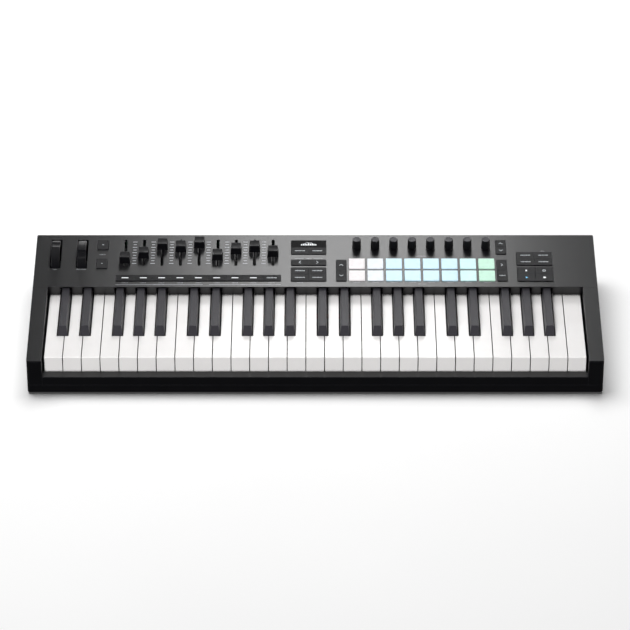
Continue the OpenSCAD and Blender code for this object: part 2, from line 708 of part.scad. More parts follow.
// The panel's board, the sockets' board and the keys' contact board.
module circuit_boards() color([0.07, 0.28, 0.16]) {
    first = octave_x - octave_size[0] / 2 - 3;
    last = edit_x + edit_size[0] / 2 + 4;
    difference() {
        on_panel(first, 10, board_under) cube([last - first, 93, board_t]);
        for (s = SCREWS) translate([s[0], s[1], 0]) cylinder(h = 100, r = s[2] + 1);
        for (i = [0:faders - 1]) on_panel(fader_x0 + i * control_pitch, fader_v, board_under - 1)
            translate([-1.6, -fader_slot_d / 2 + 1, 0]) cube([3.2, fader_slot_d - 2, board_t + 2]);
        for (i = [0:encoders - 1]) on_panel(pad_x0 + i * control_pitch, encoder_v, board_under - 1)
            cylinder(h = board_t + 2, r = bushing_r + nose_gap);
    }
    translate([jack_x - 23, back_y - 40, io_board_z]) cube([usb_x - jack_x + 40, 36, board_t]);
    translate([-keys_w / 2 + 2, key_front_y + 58, chassis_top]) cube([keys_w - 4, 38, board_t]);
}

// ---- Rear sockets: pedal jack, 5-pin socket and USB-C ----
module rear_sockets() color([0.12, 0.12, 0.13]) {
    board = io_board_z + board_t;
    on_rear(jack_x, socket_z) difference() {
        union() {
            cylinder(h = wall + 1, r = jack_nose_r);
            translate([-8, board - socket_z, wall]) cube([16, 16, jack_depth + 2]);
        }
        translate([0, 0, -1]) cylinder(h = jack_depth + 1, r = jack_r);
    }
    on_rear(din_x, socket_z) difference() {
        union() {
            cylinder(h = wall + 1, r = din_nose_r);
            translate([-10, board - socket_z, wall]) cube([20, 19, 14]);
        }
        difference() {
            translate([0, 0, -1]) cylinder(h = 9, r = din_groove_r);
            translate([0, 0, 0.8]) cylinder(h = 9, r = din_core_r);
        }
        for (a = [0:45:180]) rotate(180 + a) translate([3.75, 0, 0]) cylinder(h = 7, r = 0.8);
    }
    on_rear(usb_x, usb_z, nose_gap) difference() {
        linear_extrude(8) rounded(usb_size[0], usb_size[1], usb_corner_r);
        difference() {
            translate([0, 0, -1]) linear_extrude(7.5) rounded(usb_size[0] - 0.7, usb_size[1] - 0.7, 1.1);
            translate([-3.3, -0.35, 0.6]) cube([6.6, 0.7, 8]);
        }
    }
}

// ---- What is drawn ----
bottom_case();
top_case();
cheeks_and_rail();
key_chassis();
pivot_rod();
key_springs();
felt_strips();
contact_domes();
circuit_boards();
display();
fader_tracks();
encoder_bodies();
wheel_cradle();
rear_sockets();
rubber_feet();
case_screws();
for (n = [0:11]) note_keys(n);
wheel(0, 0);  // pitch_wheel
wheel(1, -33);  // modulation_wheel
for (i = [0:faders - 1]) fader(i);
for (i = [0:encoders - 1]) encoder(i);
pad_row(0);  // pad_row_front
pad_row(1);  // pad_row_rear
button_block(octave_x, octave_up_v, octave_size, 1, 1);  // octave_up_button
button_block(octave_x, octave_down_v, octave_size, 1, 1);  // octave_down_button
button_block(strip_x, strip_v, strip_size, faders, 1);  // fader_buttons
button_block(centre_x, menu_v, menu_size, 2, 1);  // menu_buttons
button_block(centre_x, track_v, track_size, 2, 1);  // track_buttons
button_block(centre_x, mode_v, mode_size, 2, 2);  // mode_buttons
button_block(pad_bank_x, side_v, pad_bank_size, 1, 2);  // pad_bank_buttons
button_block(encoder_bank_x, encoder_bank_v, encoder_bank_size, 1, 2);  // encoder_bank_buttons
button_block(encoder_bank_x, side_v, pad_bank_size, 1, 2);  // scene_buttons
button_block(edit_x, edit_v, edit_size, 2, 2);  // edit_buttons
button_block(edit_x, transport_v, transport_size, 2, 2);  // transport_buttons
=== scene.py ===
"""The visual model of a 49-key keyboard controller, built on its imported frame."""

import json
import logging
import math
from dataclasses import dataclass, field
from enum import Enum
from typing import Callable, Sequence

import bpy
from mathutils import Matrix, Vector


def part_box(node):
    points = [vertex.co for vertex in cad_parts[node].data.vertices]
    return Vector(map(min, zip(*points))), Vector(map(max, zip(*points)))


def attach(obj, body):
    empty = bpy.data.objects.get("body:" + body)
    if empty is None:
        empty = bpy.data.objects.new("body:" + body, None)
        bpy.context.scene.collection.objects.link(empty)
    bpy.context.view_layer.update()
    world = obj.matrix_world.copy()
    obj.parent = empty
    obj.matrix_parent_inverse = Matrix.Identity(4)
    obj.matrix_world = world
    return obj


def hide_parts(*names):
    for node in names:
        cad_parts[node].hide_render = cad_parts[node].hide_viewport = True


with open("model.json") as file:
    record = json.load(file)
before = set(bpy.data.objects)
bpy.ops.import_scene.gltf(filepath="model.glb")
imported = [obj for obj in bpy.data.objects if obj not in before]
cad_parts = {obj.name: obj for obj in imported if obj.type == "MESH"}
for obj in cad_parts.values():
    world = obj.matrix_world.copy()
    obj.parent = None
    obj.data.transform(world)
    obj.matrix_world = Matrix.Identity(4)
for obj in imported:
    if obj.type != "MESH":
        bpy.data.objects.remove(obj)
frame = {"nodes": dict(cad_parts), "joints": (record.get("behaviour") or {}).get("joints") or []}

LOG = logging.getLogger("keyboard")
MM = 0.001
HAIR = 0.1 * MM      # tolerance when faces and edges are picked by their place
SQUARE = 0.9         # a normal's share along an axis, above which the face counts as square to it
LIFT = 0.02 * MM     # how far above a surface the middle of a mark lies

Piece = bpy.types.Object
Material = bpy.types.Material
Socket = bpy.types.NodeSocket
FaceTest = Callable[[Vector, Vector], bool]
EdgeTest = Callable[[Vector, Vector], bool]


# ---------------------------------------------------------------------------------------
# Bench: small modelling steps, as done by hand
# ---------------------------------------------------------------------------------------

def clear_selection() -> None:
    """Deselects every object."""
    for obj in list(bpy.context.selected_objects):
        obj.select_set(False)


def activate(*pieces: Piece) -> None:
    """Selects only these pieces and makes the first one active.

    Args:
        pieces: The objects to select.
    """
    clear_selection()
    for piece in pieces:
        piece.select_set(True)
    bpy.context.view_layer.objects.active = pieces[0]


def named_active(name: str) -> Piece:
    """Names the object that an operator has just added.

    Args:
        name: The new name of the object and its mesh.

    Returns:
        The object, with its place and size applied to its mesh.
    """
    piece = bpy.context.active_object
    piece.name = name
    piece.data.name = name
    bpy.ops.object.transform_apply(location=True, rotation=True, scale=True)
    return piece


def block(name: str, low: Sequence[float], high: Sequence[float]) -> Piece:
    """Adds a box between two corners.

    Args:
        name: The piece's name.
        low: The lowest corner, in metres.
        high: The highest corner, in metres.

    Returns:
        The new box.
    """
    low, high = Vector(low), Vector(high)
    clear_selection()
    bpy.ops.mesh.primitive_cube_add(size=1, location=(low + high) / 2, scale=high - low)
    return named_active(name)


def rod(name: str, radius: float, start: Sequence[float], end: Sequence[float], sides: int = 48) -> Piece:
    """Adds a straight cylinder between two points.

    Args:
        name: The piece's name.
        radius: Its radius, in metres.
        start: The middle of one end.
        end: The middle of the other end.
        sides: How many flats go round it.

    Returns:
        The new cylinder.
    """
    start, end = Vector(start), Vector(end)
    run = end - start
    clear_selection()
    bpy.ops.mesh.primitive_cylinder_add(
        vertices=sides, radius=radius, depth=run.length, location=(start + end) / 2,
        rotation=run.to_track_quat("Z", "Y").to_euler())
    return named_active(name)


def turned(name: str, rings: Sequence[tuple[float, float]], sides: int = 48) -> Piece:
    """Turns a solid about Z, ring by ring.

    Args:
        name: The piece's name.
        rings: (radius, height) of each ring, in metres, from the first end face to the last.
        sides: How many flats go round it.

    Returns:
        The closed solid.
    """
    clear_selection()
    bpy.ops.mesh.primitive_circle_add(
        vertices=sides, radius=rings[0][0], location=(0, 0, rings[0][1]), fill_type="NGON")
    piece = named_active(name)
    bpy.context.tool_settings.mesh_select_mode = (False, False, True)
    bpy.ops.object.mode_set(mode="EDIT")
    bpy.ops.mesh.select_all(action="SELECT")
    for (old_r, old_z), (new_r, new_z) in zip(rings, rings[1:]):
        bpy.ops.mesh.extrude_region_move(TRANSFORM_OT_translate={"value": (0, 0, new_z - old_z)})
        ratio = new_r / old_r
        bpy.ops.transform.resize(value=(ratio, ratio, 1), center_override=(0, 0, new_z))
    bpy.ops.mesh.select_all(action="SELECT")
    bpy.ops.mesh.normals_make_consistent(inside=False)
    bpy.ops.object.mode_set(mode="OBJECT")
    return piece


def pick_faces(piece: Piece, test: FaceTest) -> None:
    """Selects the faces whose centre and normal pass a test, and opens edit mode.

    Args:
        piece: The object to select on.
        test: Takes a face's centre and normal.
    """
    activate(piece)
    bpy.context.tool_settings.mesh_select_mode = (False, False, True)
    mesh = piece.data
    chosen = [face for face in mesh.polygons if test(face.center, face.normal)]
    corners = {v for face in chosen for v in face.vertices}
    sides = {key for face in chosen for key in face.edge_keys}
    indices = {face.index for face in chosen}
    for vertex in mesh.vertices:
        vertex.select = vertex.index in corners
    for edge in mesh.edges:
        edge.select = edge.key in sides
    for face in mesh.polygons:
        face.select = face.index in indices
    bpy.ops.object.mode_set(mode="EDIT")


def pick_edges(piece: Piece, test: EdgeTest) -> None:
    """Selects the edges whose two ends pass a test, and opens edit mode.

    Args:
        piece: The object to select on.
        test: Takes an edge's two end points.
    """
    activate(piece)
    bpy.context.tool_settings.mesh_select_mode = (False, True, False)
    mesh = piece.data
    spots = [vertex.co for vertex in mesh.vertices]
    chosen = [edge for edge in mesh.edges if test(spots[edge.vertices[0]], spots[edge.vertices[1]])]
    corners = {v for edge in chosen for v in edge.vertices}
    indices = {edge.index for edge in chosen}
    for vertex in mesh.vertices:
        vertex.select = vertex.index in corners
    for face in mesh.polygons:
        face.select = False
    for edge in mesh.edges:
        edge.select = edge.index in indices
    bpy.ops.object.mode_set(mode="EDIT")


def leave_edit() -> None:
    """Goes back to object mode."""
    bpy.ops.object.mode_set(mode="OBJECT")


def extrude_faces(piece: Piece, test: FaceTest, move: Sequence[float]) -> None:
    """Extrudes the faces that pass a test.

    Args:
        piece: The object to work on.
        test: Takes a face's centre and normal.
        move: How far the faces go, in metres.
    """
    pick_faces(piece, test)
    bpy.ops.mesh.extrude_region_move(TRANSFORM_OT_translate={"value": move})
    leave_edit()


def delete_faces(piece: Piece, test: FaceTest) -> None:
    """Deletes the faces that pass a test.

    Args:
        piece: The object to work on.
        test: Takes a face's centre and normal.
    """
    pick_faces(piece, test)
    bpy.ops.mesh.delete(type="FACE")
    leave_edit()


def slice_at(piece: Piece, axis: int, place: float) -> None:
    """Cuts new edges where a plane square to one axis crosses the piece.

    Args:
        piece: The object to work on.
        axis: 0, 1 or 2 for X, Y or Z.
        place: Where the plane crosses that axis, in metres.
    """
    point = Vector((0, 0, 0))
    point[axis] = place
    normal = Vector((0, 0, 0))
    normal[axis] = 1
    activate(piece)
    bpy.ops.object.mode_set(mode="EDIT")
    bpy.ops.mesh.select_all(action="SELECT")
    bpy.ops.mesh.bisect(plane_co=point, plane_no=normal)
    leave_edit()


def bevel_edges(piece: Piece, test: EdgeTest, width: float, segments: int = 4) -> None:
    """Rounds the edges whose ends pass a test.

    Args:
        piece: The object to work on.
        test: Takes an edge's two end points.
        width: The bevel's width, in metres.
        segments: How many strips make the round.
    """
    pick_edges(piece, test)
    bpy.ops.mesh.bevel(offset=width, segments=segments, affect="EDGES", clamp_overlap=True)
    leave_edit()


def apply_modifier(piece: Piece, kind: str, **settings: object) -> None:
    """Adds a modifier, sets it and applies it.

    Args:
        piece: The object to work on.
        kind: The modifier's type, such as "BEVEL".
        settings: Its settings by name.
    """
    activate(piece)
    modifier = piece.modifiers.new(kind.title(), kind)
    for key, value in settings.items():
        setattr(modifier, key, value)
    bpy.ops.object.modifier_apply(modifier=modifier.name)


def soften(piece: Piece, width: float, segments: int = 3, angle: float = 35) -> None:
    """Rounds every sharp edge a little and keeps the flats flat.

    Args:
        piece: The object to work on.
        width: The rounding's width, in metres.
        segments: How many strips make the round.
        angle: The least angle between faces that is rounded, in degrees.
    """
    apply_modifier(piece, "BEVEL", width=width, segments=segments, limit_method="ANGLE",
                   angle_limit=math.radians(angle), miter_outer="MITER_ARC")
    activate(piece)
    bpy.ops.object.shade_smooth()
    apply_modifier(piece, "WEIGHTED_NORMAL", mode="FACE_AREA", keep_sharp=False)


def cut(piece: Piece, *cutters: Piece) -> None:
    """Cuts other solids out of a piece and throws the cutters away.

    Args:
        piece: The object that is cut.
        cutters: The solids to take away.
    """
    for cutter in cutters:
        apply_modifier(piece, "BOOLEAN", operation="DIFFERENCE", solver="EXACT", object=cutter)
        bpy.data.objects.remove(cutter)


def join(name: str, pieces: Sequence[Piece]) -> Piece:
    """Joins several pieces into one object.

    Args:
        name: The joined object's name.
        pieces: What to join; the first one gives its mesh.

    Returns:
        The joined object.
    """
    activate(*pieces)
    if len(pieces) > 1:
        bpy.ops.object.join()
    piece = bpy.context.view_layer.objects.active
    piece.name = name
    piece.data.name = name
    return piece


def shift(piece: Piece, matrix: Matrix) -> Piece:
    """Moves a piece and applies the move to its mesh.

    Args:
        piece: The object to move.
        matrix: The move.

    Returns:
        The same object, at the origin, with its place in its mesh.
    """
    activate(piece)
    piece.matrix_world = matrix @ piece.matrix_world
    bpy.ops.object.transform_apply(location=True, rotation=True, scale=True)
    return piece


def twin(piece: Piece, name: str, matrix: Matrix) -> Piece:
    """Copies a piece with a mesh of its own.

    Args:
        piece: The object to copy.
        name: The copy's name.
        matrix: How the copy is moved from the original.

    Returns:
        The copy.
    """
    copy = piece.copy()
    copy.data = piece.data.copy()
    bpy.context.scene.collection.objects.link(copy)
    copy.name = name
    copy.data.name = name
    return shift(copy, matrix)


def dress(piece: Piece, *materials: Material) -> None:
    """Gives a piece these materials, in slot order.

    Args:
        piece: The object to dress.
        materials: Its materials.
    """
    piece.data.materials.clear()
    for material in materials:
        piece.data.materials.append(material)


def mount(piece: Piece, body: str, slot: str, *replaced: str) -> None:
    """Fixes a finished piece to its body and reports it.

    Args:
        piece: The finished piece.
        body: The body it rides on.
        slot: The record's material slot; not used.
        replaced: The nodes it stands for.
    """
    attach(piece, body)
    if replaced:
        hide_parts(*replaced)
    LOG.info("%s rides on %s, %d faces", piece.name, body, len(piece.data.polygons))


# ---------------------------------------------------------------------------------------
# Finishes
# ---------------------------------------------------------------------------------------

def linear(code: str) -> tuple[float, float, float, float]:
    """Turns a display colour such as "3a3a3c" into linear values.

    Args:
        code: Six hexadecimal digits.

    Returns:
        Red, green, blue and alpha, linear.
    """
    values = [int(code[i:i + 2], 16) / 255 for i in (0, 2, 4)]
    curve = [v / 12.92 if v <= 0.04045 else ((v + 0.055) / 1.055) ** 2.4 for v in values]
    return (*curve, 1.0)


class Recipe:
    """A material under construction: a Principled shader and the nodes that feed it."""

    def __init__(self, name: str) -> None:
        """Starts an empty material.

        Args:
            name: The material's name.
        """
        self.material = bpy.data.materials.new(name)
        self.material.use_nodes = True
        self.tree = self.material.node_tree
        self.shader = self.tree.nodes["Principled BSDF"]
        self.place = self.add("ShaderNodeTexCoord").outputs["Object"]

    def add(self, kind: str, **inputs: object) -> bpy.types.Node:
        """Adds a node and sets its inputs.

        Args:
            kind: The node's type.
            inputs: Values by input name; spaces are written as underscores.

        Returns:
            The node.
        """
        node = self.tree.nodes.new(kind)
        for key, value in inputs.items():
            node.inputs[key.replace("_", " ")].default_value = value
        return node

    def link(self, start: Socket, end: Socket) -> None:
        """Joins two sockets."""
        self.tree.links.new(start, end)

    def noise(self, scale: float, detail: float = 3.0) -> Socket:
        """Adds solid noise in the row's frame.

        Args:
            scale: Cells per metre.
            detail: Octaves of finer noise.

        Returns:
            The noise value.
        """
        node = self.add("ShaderNodeTexNoise", Scale=scale, Detail=detail)
        self.link(self.place, node.inputs["Vector"])
        return node.outputs[0]

    def remap(self, value: Socket, before: tuple[float, float], after: tuple[float, float]) -> Socket:
        """Maps one range of a value to another and stops at its ends.

        Args:
            value: The value to map.
            before: The two values that mark the ends.
            after: What they become.

        Returns:
            The mapped value.
        """
        node = self.add("ShaderNodeMapRange")
        for index, number in enumerate((*before, *after), 1):
            node.inputs[index].default_value = number
        self.link(value, node.inputs[0])
        return node.outputs[0]

    def ramp(self, value: Socket, low: float, high: float) -> Socket:
        """Maps the middle of a 0..1 value to a narrower range.

        Args:
            value: The value to map.
            low: The result at 0.3.
            high: The result at 0.7.

        Returns:
            The mapped value.
        """
        return self.remap(value, (0.3, 0.7), (low, high))

    def steep(self, value: Socket) -> Socket:
        """Keeps only the deepest shade of a 0..1 openness."""
        return self.remap(value, (0.3, 0.62), (0.0, 1.0))

    def feed(self, entry: str, value: Socket) -> None:
        """Feeds one of the shader's inputs from a socket."""
        self.link(value, self.shader.inputs[entry])

    def fix(self, entry: str, value: object) -> None:
        """Sets one of the shader's inputs to a plain value."""
        self.shader.inputs[entry].default_value = value

    def blend(self, value: Socket, first: object, second: object) -> Socket:
        """Mixes two colours.

        Args:
            value: 0 gives the first colour and 1 the second.
            first: A colour or a colour socket.
            second: A colour or a colour socket.

        Returns:
            The mixed colour.
        """
        node = self.tree.nodes.new("ShaderNodeMix")
        node.data_type = "RGBA"
        self.link(value, node.inputs["Factor"])
        for end, colour in (("A", first), ("B", second)):
            socket = [s for s in node.inputs if s.name == end and s.type == "RGBA"][0]
            if isinstance(colour, Socket):
                self.link(colour, socket)
            else:
                socket.default_value = colour
        return [s for s in node.outputs if s.type == "RGBA"][0]

    def bump(self, height: Socket, depth: float, strength: float = 1.0) -> None:
        """Adds relief under whatever relief is there.

        Args:
            height: The height, 0 to 1.
            depth: The depth of the relief, in metres.
            strength: How much of it shows.
        """
        node = self.add("ShaderNodeBump", Strength=strength, Distance=depth)
        self.link(height, node.inputs["Height"])
        if self.shader.inputs["Normal"].is_linked:
            self.link(self.shader.inputs["Normal"].links[0].from_socket, node.inputs["Normal"])
        self.link(node.outputs[0], self.shader.inputs["Normal"])

    def maths(self, operation: str, value: Socket, number: object = 0.0) -> Socket:
        """Adds a sum on one value.

        Args:
            operation: The sum's name.
            value: The first term.
            number: The second term, a number or a socket.

        Returns:
            The result.
        """
        node = self.tree.nodes.new("ShaderNodeMath")
        node.operation = operation
        self.link(value, node.inputs[0])
        if isinstance(number, Socket):
            self.link(number, node.inputs[1])
        else:
            node.inputs[1].default_value = number
        return node.outputs[0]

    def clear_of(self, seam: float, reach: float) -> Socket:
        """Gives 0 close to a seam that runs across the object, and 1 elsewhere.

        Args:
            seam: The seam's place along y, in metres.
            reach: How near counts as close, in metres.

        Returns:
            The mask.
        """
        split = self.tree.nodes.new("ShaderNodeSeparateXYZ")
        self.link(self.place, split.inputs[0])
        away = self.maths("ABSOLUTE", self.maths("SUBTRACT", split.outputs["Y"], seam))
        return self.maths("GREATER_THAN", away, reach)

    def worn_and_highlit_edges(self, colour: Socket, worn_and_highlit: object, reach: float,
                   seam: float | None = None) -> Socket:
        """Lightens edges, found where a rounded normal turns away from the face's own; the paler edge is
        partly scuffing and partly a painted highlight.

        Args:
            colour: The colour of the flats.
            worn_and_highlit: The colour at the edges, partly scuffing and partly a painted highlight.
            reach: How wide the lightened strip is, in metres.
            seam: A tight seam's place along y, whose edges stay sharp and are not lightened.

        Returns:
            The mixed colour.
        """
        rounded = self.tree.nodes.new("ShaderNodeBevel")
        rounded.samples = 4
        rounded.inputs["Radius"].default_value = reach
        turn = self.tree.nodes.new("ShaderNodeVectorMath")
        turn.operation = "DOT_PRODUCT"
        self.link(rounded.outputs[0], turn.inputs[0])
        flat = self.add("ShaderNodeNewGeometry").outputs["Normal"]
        self.link(flat, turn.inputs[1])
        # Painted highlight, partly scuffing: how far each edge turns towards the edge colour.
        wear_and_highlight = self.remap(turn.outputs["Value"], (0.98, 0.8), (0.0, 1.0))
        normal = rounded.outputs[0]
        if seam is not None:
            clear = self.clear_of(seam, 1.5 * reach)
            wear_and_highlight = self.maths("MULTIPLY", wear_and_highlight, clear)
            mix = self.tree.nodes.new("ShaderNodeMix")
            mix.data_type = "VECTOR"
            self.link(clear, mix.inputs["Factor"])
            self.link(flat, mix.inputs[4])
            self.link(normal, mix.inputs[5])
            normal = mix.outputs[1]
        self.feed("Normal", normal)
        return self.blend(wear_and_highlight, colour, worn_and_highlit)


@dataclass(frozen=True)
class Moulding:
    """A moulded plastic or rubber surface with fine grain, edges lightened partly as a painted highlight,
    and painted shade in its gaps if given.
    """

    name: str
    dark: str
    light: str
    # Edge colour: partly scuffing, partly a painted highlight.
    worn_and_highlit: str
    rough: tuple[float, float] = (0.38, 0.5)
    grain: float = 2600.0
    depth: float = 0.00003
    specular: float = 0.5
    coat: float = 0.0
    scatter: float = 0.0
    # Colour of painted shade that darkens gaps and recesses, by ambient occlusion; empty for none.
    gap_shade: str = ""
    # Width of the lightened edge strip, partly scuffing and partly painted highlight; also the rounding's
    # radius.
    wear_and_highlight: float = 0.5 * MM
    seam_of: str = ""

    def material(self) -> Material:
        """Builds the material.

        Returns:
            The new material.
        """
        recipe = Recipe(self.name)
        mottle = recipe.ramp(recipe.noise(38.0, 5.0), 0.0, 1.0)
        flats = recipe.blend(mottle, linear(self.dark), linear(self.light))
        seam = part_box(self.seam_of)[1].y if self.seam_of else None
        colour = recipe.worn_and_highlit_edges(flats, linear(self.worn_and_highlit), self.wear_and_highlight, seam)
        # Painted shade: gaps and recesses darken towards this colour.
        if self.gap_shade:
            gaps = recipe.add("ShaderNodeAmbientOcclusion", Distance=0.006)
            gaps.samples = 6
            colour = recipe.blend(recipe.steep(gaps.outputs["AO"]), linear(self.gap_shade), colour)
        recipe.feed("Base Color", colour)
        recipe.feed("Roughness", recipe.ramp(recipe.noise(210.0), *self.rough))
        recipe.bump(recipe.noise(self.grain, 2.0), self.depth, 0.6)
        recipe.fix("Specular IOR Level", self.specular)
        recipe.fix("Coat Weight", self.coat)
        recipe.fix("Coat Roughness", 0.12)
        if self.scatter:
            recipe.fix("Subsurface Weight", self.scatter)
            recipe.fix("Subsurface Radius", (0.004, 0.003, 0.002))
            recipe.fix("Subsurface Scale", 0.4)
        return recipe.material


@dataclass(frozen=True)
class Glow:
    """Something lit from behind: a pad, a lamp or a lit legend; the panel print, no lamp, also glows
    faintly as painted light.
    """

    name: str
    colour: str
    strength: float
    rough: float = 0.4

    def material(self) -> Material:
        """Builds the material.

        Returns:
            The new material.
        """
        recipe = Recipe(self.name)
        tone = linear(self.colour)
        shade = tuple(0.9 * c for c in tone[:3]) + (1.0,)
        cloud = recipe.ramp(recipe.noise(160.0), 0.0, 1.0)
        recipe.feed("Base Color", recipe.blend(cloud, shade, tone))
        recipe.feed("Roughness", recipe.ramp(recipe.noise(900.0), self.rough, self.rough + 0.12))
        recipe.feed("Emission Color", recipe.blend(cloud, shade, tone))
        recipe.bump(recipe.noise(2200.0, 2.0), 0.00002, 0.4)
        recipe.fix("Emission Strength", self.strength)
        return recipe.material


@dataclass(frozen=True)
class Metal:
    """Drawn or plated metal with fine lines along one axis."""

    name: str
    colour: str
    rough: tuple[float, float] = (0.22, 0.4)
    grain: tuple[float, float, float] = (60.0, 2400.0, 2400.0)

    def material(self) -> Material:
        """Builds the material.

        Returns:
            The new material.
        """
        recipe = Recipe(self.name)
        stretch = recipe.tree.nodes.new("ShaderNodeMapping")
        stretch.inputs["Scale"].default_value = self.grain
        recipe.link(recipe.place, stretch.inputs["Vector"])
        lines = recipe.add("ShaderNodeTexNoise", Scale=1.0, Detail=3.0)
        recipe.link(stretch.outputs[0], lines.inputs["Vector"])
        tone = linear(self.colour)
        shade = tuple(0.75 * c for c in tone[:3]) + (1.0,)
        recipe.feed("Base Color", recipe.blend(lines.outputs[0], shade, tone))
        recipe.feed("Roughness", recipe.ramp(lines.outputs[0], *self.rough))
        recipe.bump(lines.outputs[0], 0.00002, 0.4)
        recipe.fix("Metallic", 1.0)
        return recipe.material


@dataclass(frozen=True)
class Felt:
    """Pressed wool felt."""

    name: str
    dark: str
    light: str

    def material(self) -> Material:
        """Builds the material.

        Returns:
            The new material.
        """
        recipe = Recipe(self.name)
        fibre = recipe.noise(1500.0, 8.0)
        colour = recipe.blend(recipe.ramp(fibre, 0.0, 1.0), linear(self.dark), linear(self.light))
        recipe.feed("Base Color", colour)
        recipe.feed("Roughness", recipe.ramp(fibre, 0.85, 1.0))
        recipe.bump(fibre, 0.0004, 0.8)
        recipe.fix("Sheen Weight", 0.4)
        return recipe.material


@dataclass(frozen=True)
class Board:
    """A circuit board: solder resist over copper tracks."""

    name: str
    resist: str
    track: str

    def material(self) -> Material:
        """Builds the material.

        Returns:
            The new material.
        """
        recipe = Recipe(self.name)
        cells = recipe.add("ShaderNodeTexVoronoi", Scale=140.0)
        cells.distance = "MANHATTAN"
        cells.feature = "F1"
        recipe.link(recipe.place, cells.inputs["Vector"])
        traces = recipe.ramp(cells.outputs["Distance"], 0.0, 1.0)
        recipe.feed("Base Color", recipe.blend(traces, linear(self.resist), linear(self.track)))
        recipe.feed("Roughness", recipe.ramp(recipe.noise(300.0), 0.25, 0.4))
        recipe.bump(traces, 0.00004, 0.7)
        return recipe.material


@dataclass(frozen=True)
class Window:
    """The display's dark polished window, its tone mottled a little at random."""

    name: str
    dark: str
    light: str

    def material(self) -> Material:
        """Builds the material.

        Returns:
            The new material.
        """
        recipe = Recipe(self.name)
        smudge = recipe.ramp(recipe.noise(70.0, 4.0), 0.0, 1.0)
        recipe.feed("Base Color", recipe.blend(smudge, linear(self.dark), linear(self.light)))
        recipe.feed("Roughness", recipe.ramp(recipe.noise(120.0), 0.42, 0.5))
        recipe.bump(recipe.noise(600.0), 0.000002, 0.3)
        recipe.fix("Specular IOR Level", 0.03)
        return recipe.material


class Finish(Enum):
    """Every finish on the object."""

    # Each moulding's third colour lightens its edges: partly scuffing, partly a painted highlight.
    CASE = Moulding("case_satin_black", "09090b", "0c0c0e", "34333a", rough=(0.31, 0.34), depth=0.000004,
                    seam_of="cheeks_and_rail")
    # Painted shade: the white keys darken in the gaps between them.
    WHITE = Moulding("white_key_gloss", "e2e0df", "e6e4e3", "f6f5f4", rough=(0.32, 0.36), grain=900.0,
                     depth=0.000002, coat=0.15, gap_shade="0f0e0e", wear_and_highlight=0.7 * MM)
    BLACK = Moulding("black_key_satin", "323135", "363539", "46454a", rough=(0.38, 0.42), depth=0.000004,
                     specular=0.1)
    KNOB = Moulding("knob_soft_black", "08080a", "0b0b0e", "222227", rough=(0.42, 0.55), specular=0.25)
    KNOB_TOP = Moulding("knob_cap_grey", "2b2b30", "323237", "47474d", rough=(0.45, 0.55), specular=0.3)
    WHEEL = Moulding("wheel_soft_touch", "08080b", "0c0c0f", "1d1d22", rough=(0.5, 0.65), specular=0.15)
    BUTTON = Moulding("button_silicone", "0b0b0e", "0f0f12", "1c1c20", rough=(0.55, 0.65), specular=0.2)
    FOOT = Moulding("foot_rubber", "0c0c0c", "131313", "1e1e1e", rough=(0.7, 0.85), grain=1200.0,
                    depth=0.0001)
    SOCKET = Moulding("socket_black", "0b0b0c", "121214", "26262a", rough=(0.35, 0.5))
    CHASSIS = Moulding("chassis_grey", "3a3c3f", "45474a", "5a5c60", rough=(0.45, 0.6))
    DOME = Moulding("contact_silicone", "8d9093", "9a9da0", "b4b6b8", rough=(0.5, 0.65), scatter=0.1)
    STEEL = Metal("plated_steel", "b9bbc0")
    CAN = Metal("pressed_can", "a6a9ae", grain=(900.0, 60.0, 900.0))
    FELT = Felt("red_felt", "5c0f16", "7d1a22")
    DARK_BOARD = Board("black_board", "0a0c0b", "15201a")
    WINDOW = Window("display_window", "030304", "060608")
    # Painted glow: the panel print is no lamp, yet it glows faintly.
    PRINT = Glow("panel_print", "a9acb1", 0.03, rough=0.5)
    LEGEND = Glow("lit_legend", "c0c6ca", 0.22)
    LAMP = Glow("white_lamp", "dfe3e6", 0.3)
    BLUE = Glow("blue_lamp", "6fb8e0", 0.45)
    PAD_WHITE = Glow("pad_white", "e2dedf", 0.03)
    PAD_COOL = Glow("pad_cool_white", "dbe2e8", 0.05)
    PAD_ICE = Glow("pad_ice", "c4e3f1", 0.08)
    PAD_CYAN = Glow("pad_cyan", "c6e9ea", 0.08)
    PAD_MINT = Glow("pad_mint", "bce5d0", 0.06)
    RIM_WHITE = Glow("pad_rim_white", "a9a6a9", 0.02)
    RIM_BLUE = Glow("pad_rim_blue", "4786ae", 0.0)
    RIM_GREEN = Glow("pad_rim_green", "5fb08f", 0.0)

    @property
    def material(self) -> Material:
        """The finish's material, made once."""
        made = bpy.data.materials.get(self.value.name)
        return made or self.value.material()


# ---------------------------------------------------------------------------------------
# The panel's frame
# ---------------------------------------------------------------------------------------

def joint(name: str) -> dict:
    """The joint of that name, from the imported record."""
    return next(j for j in frame["joints"] if j["name"] == name)


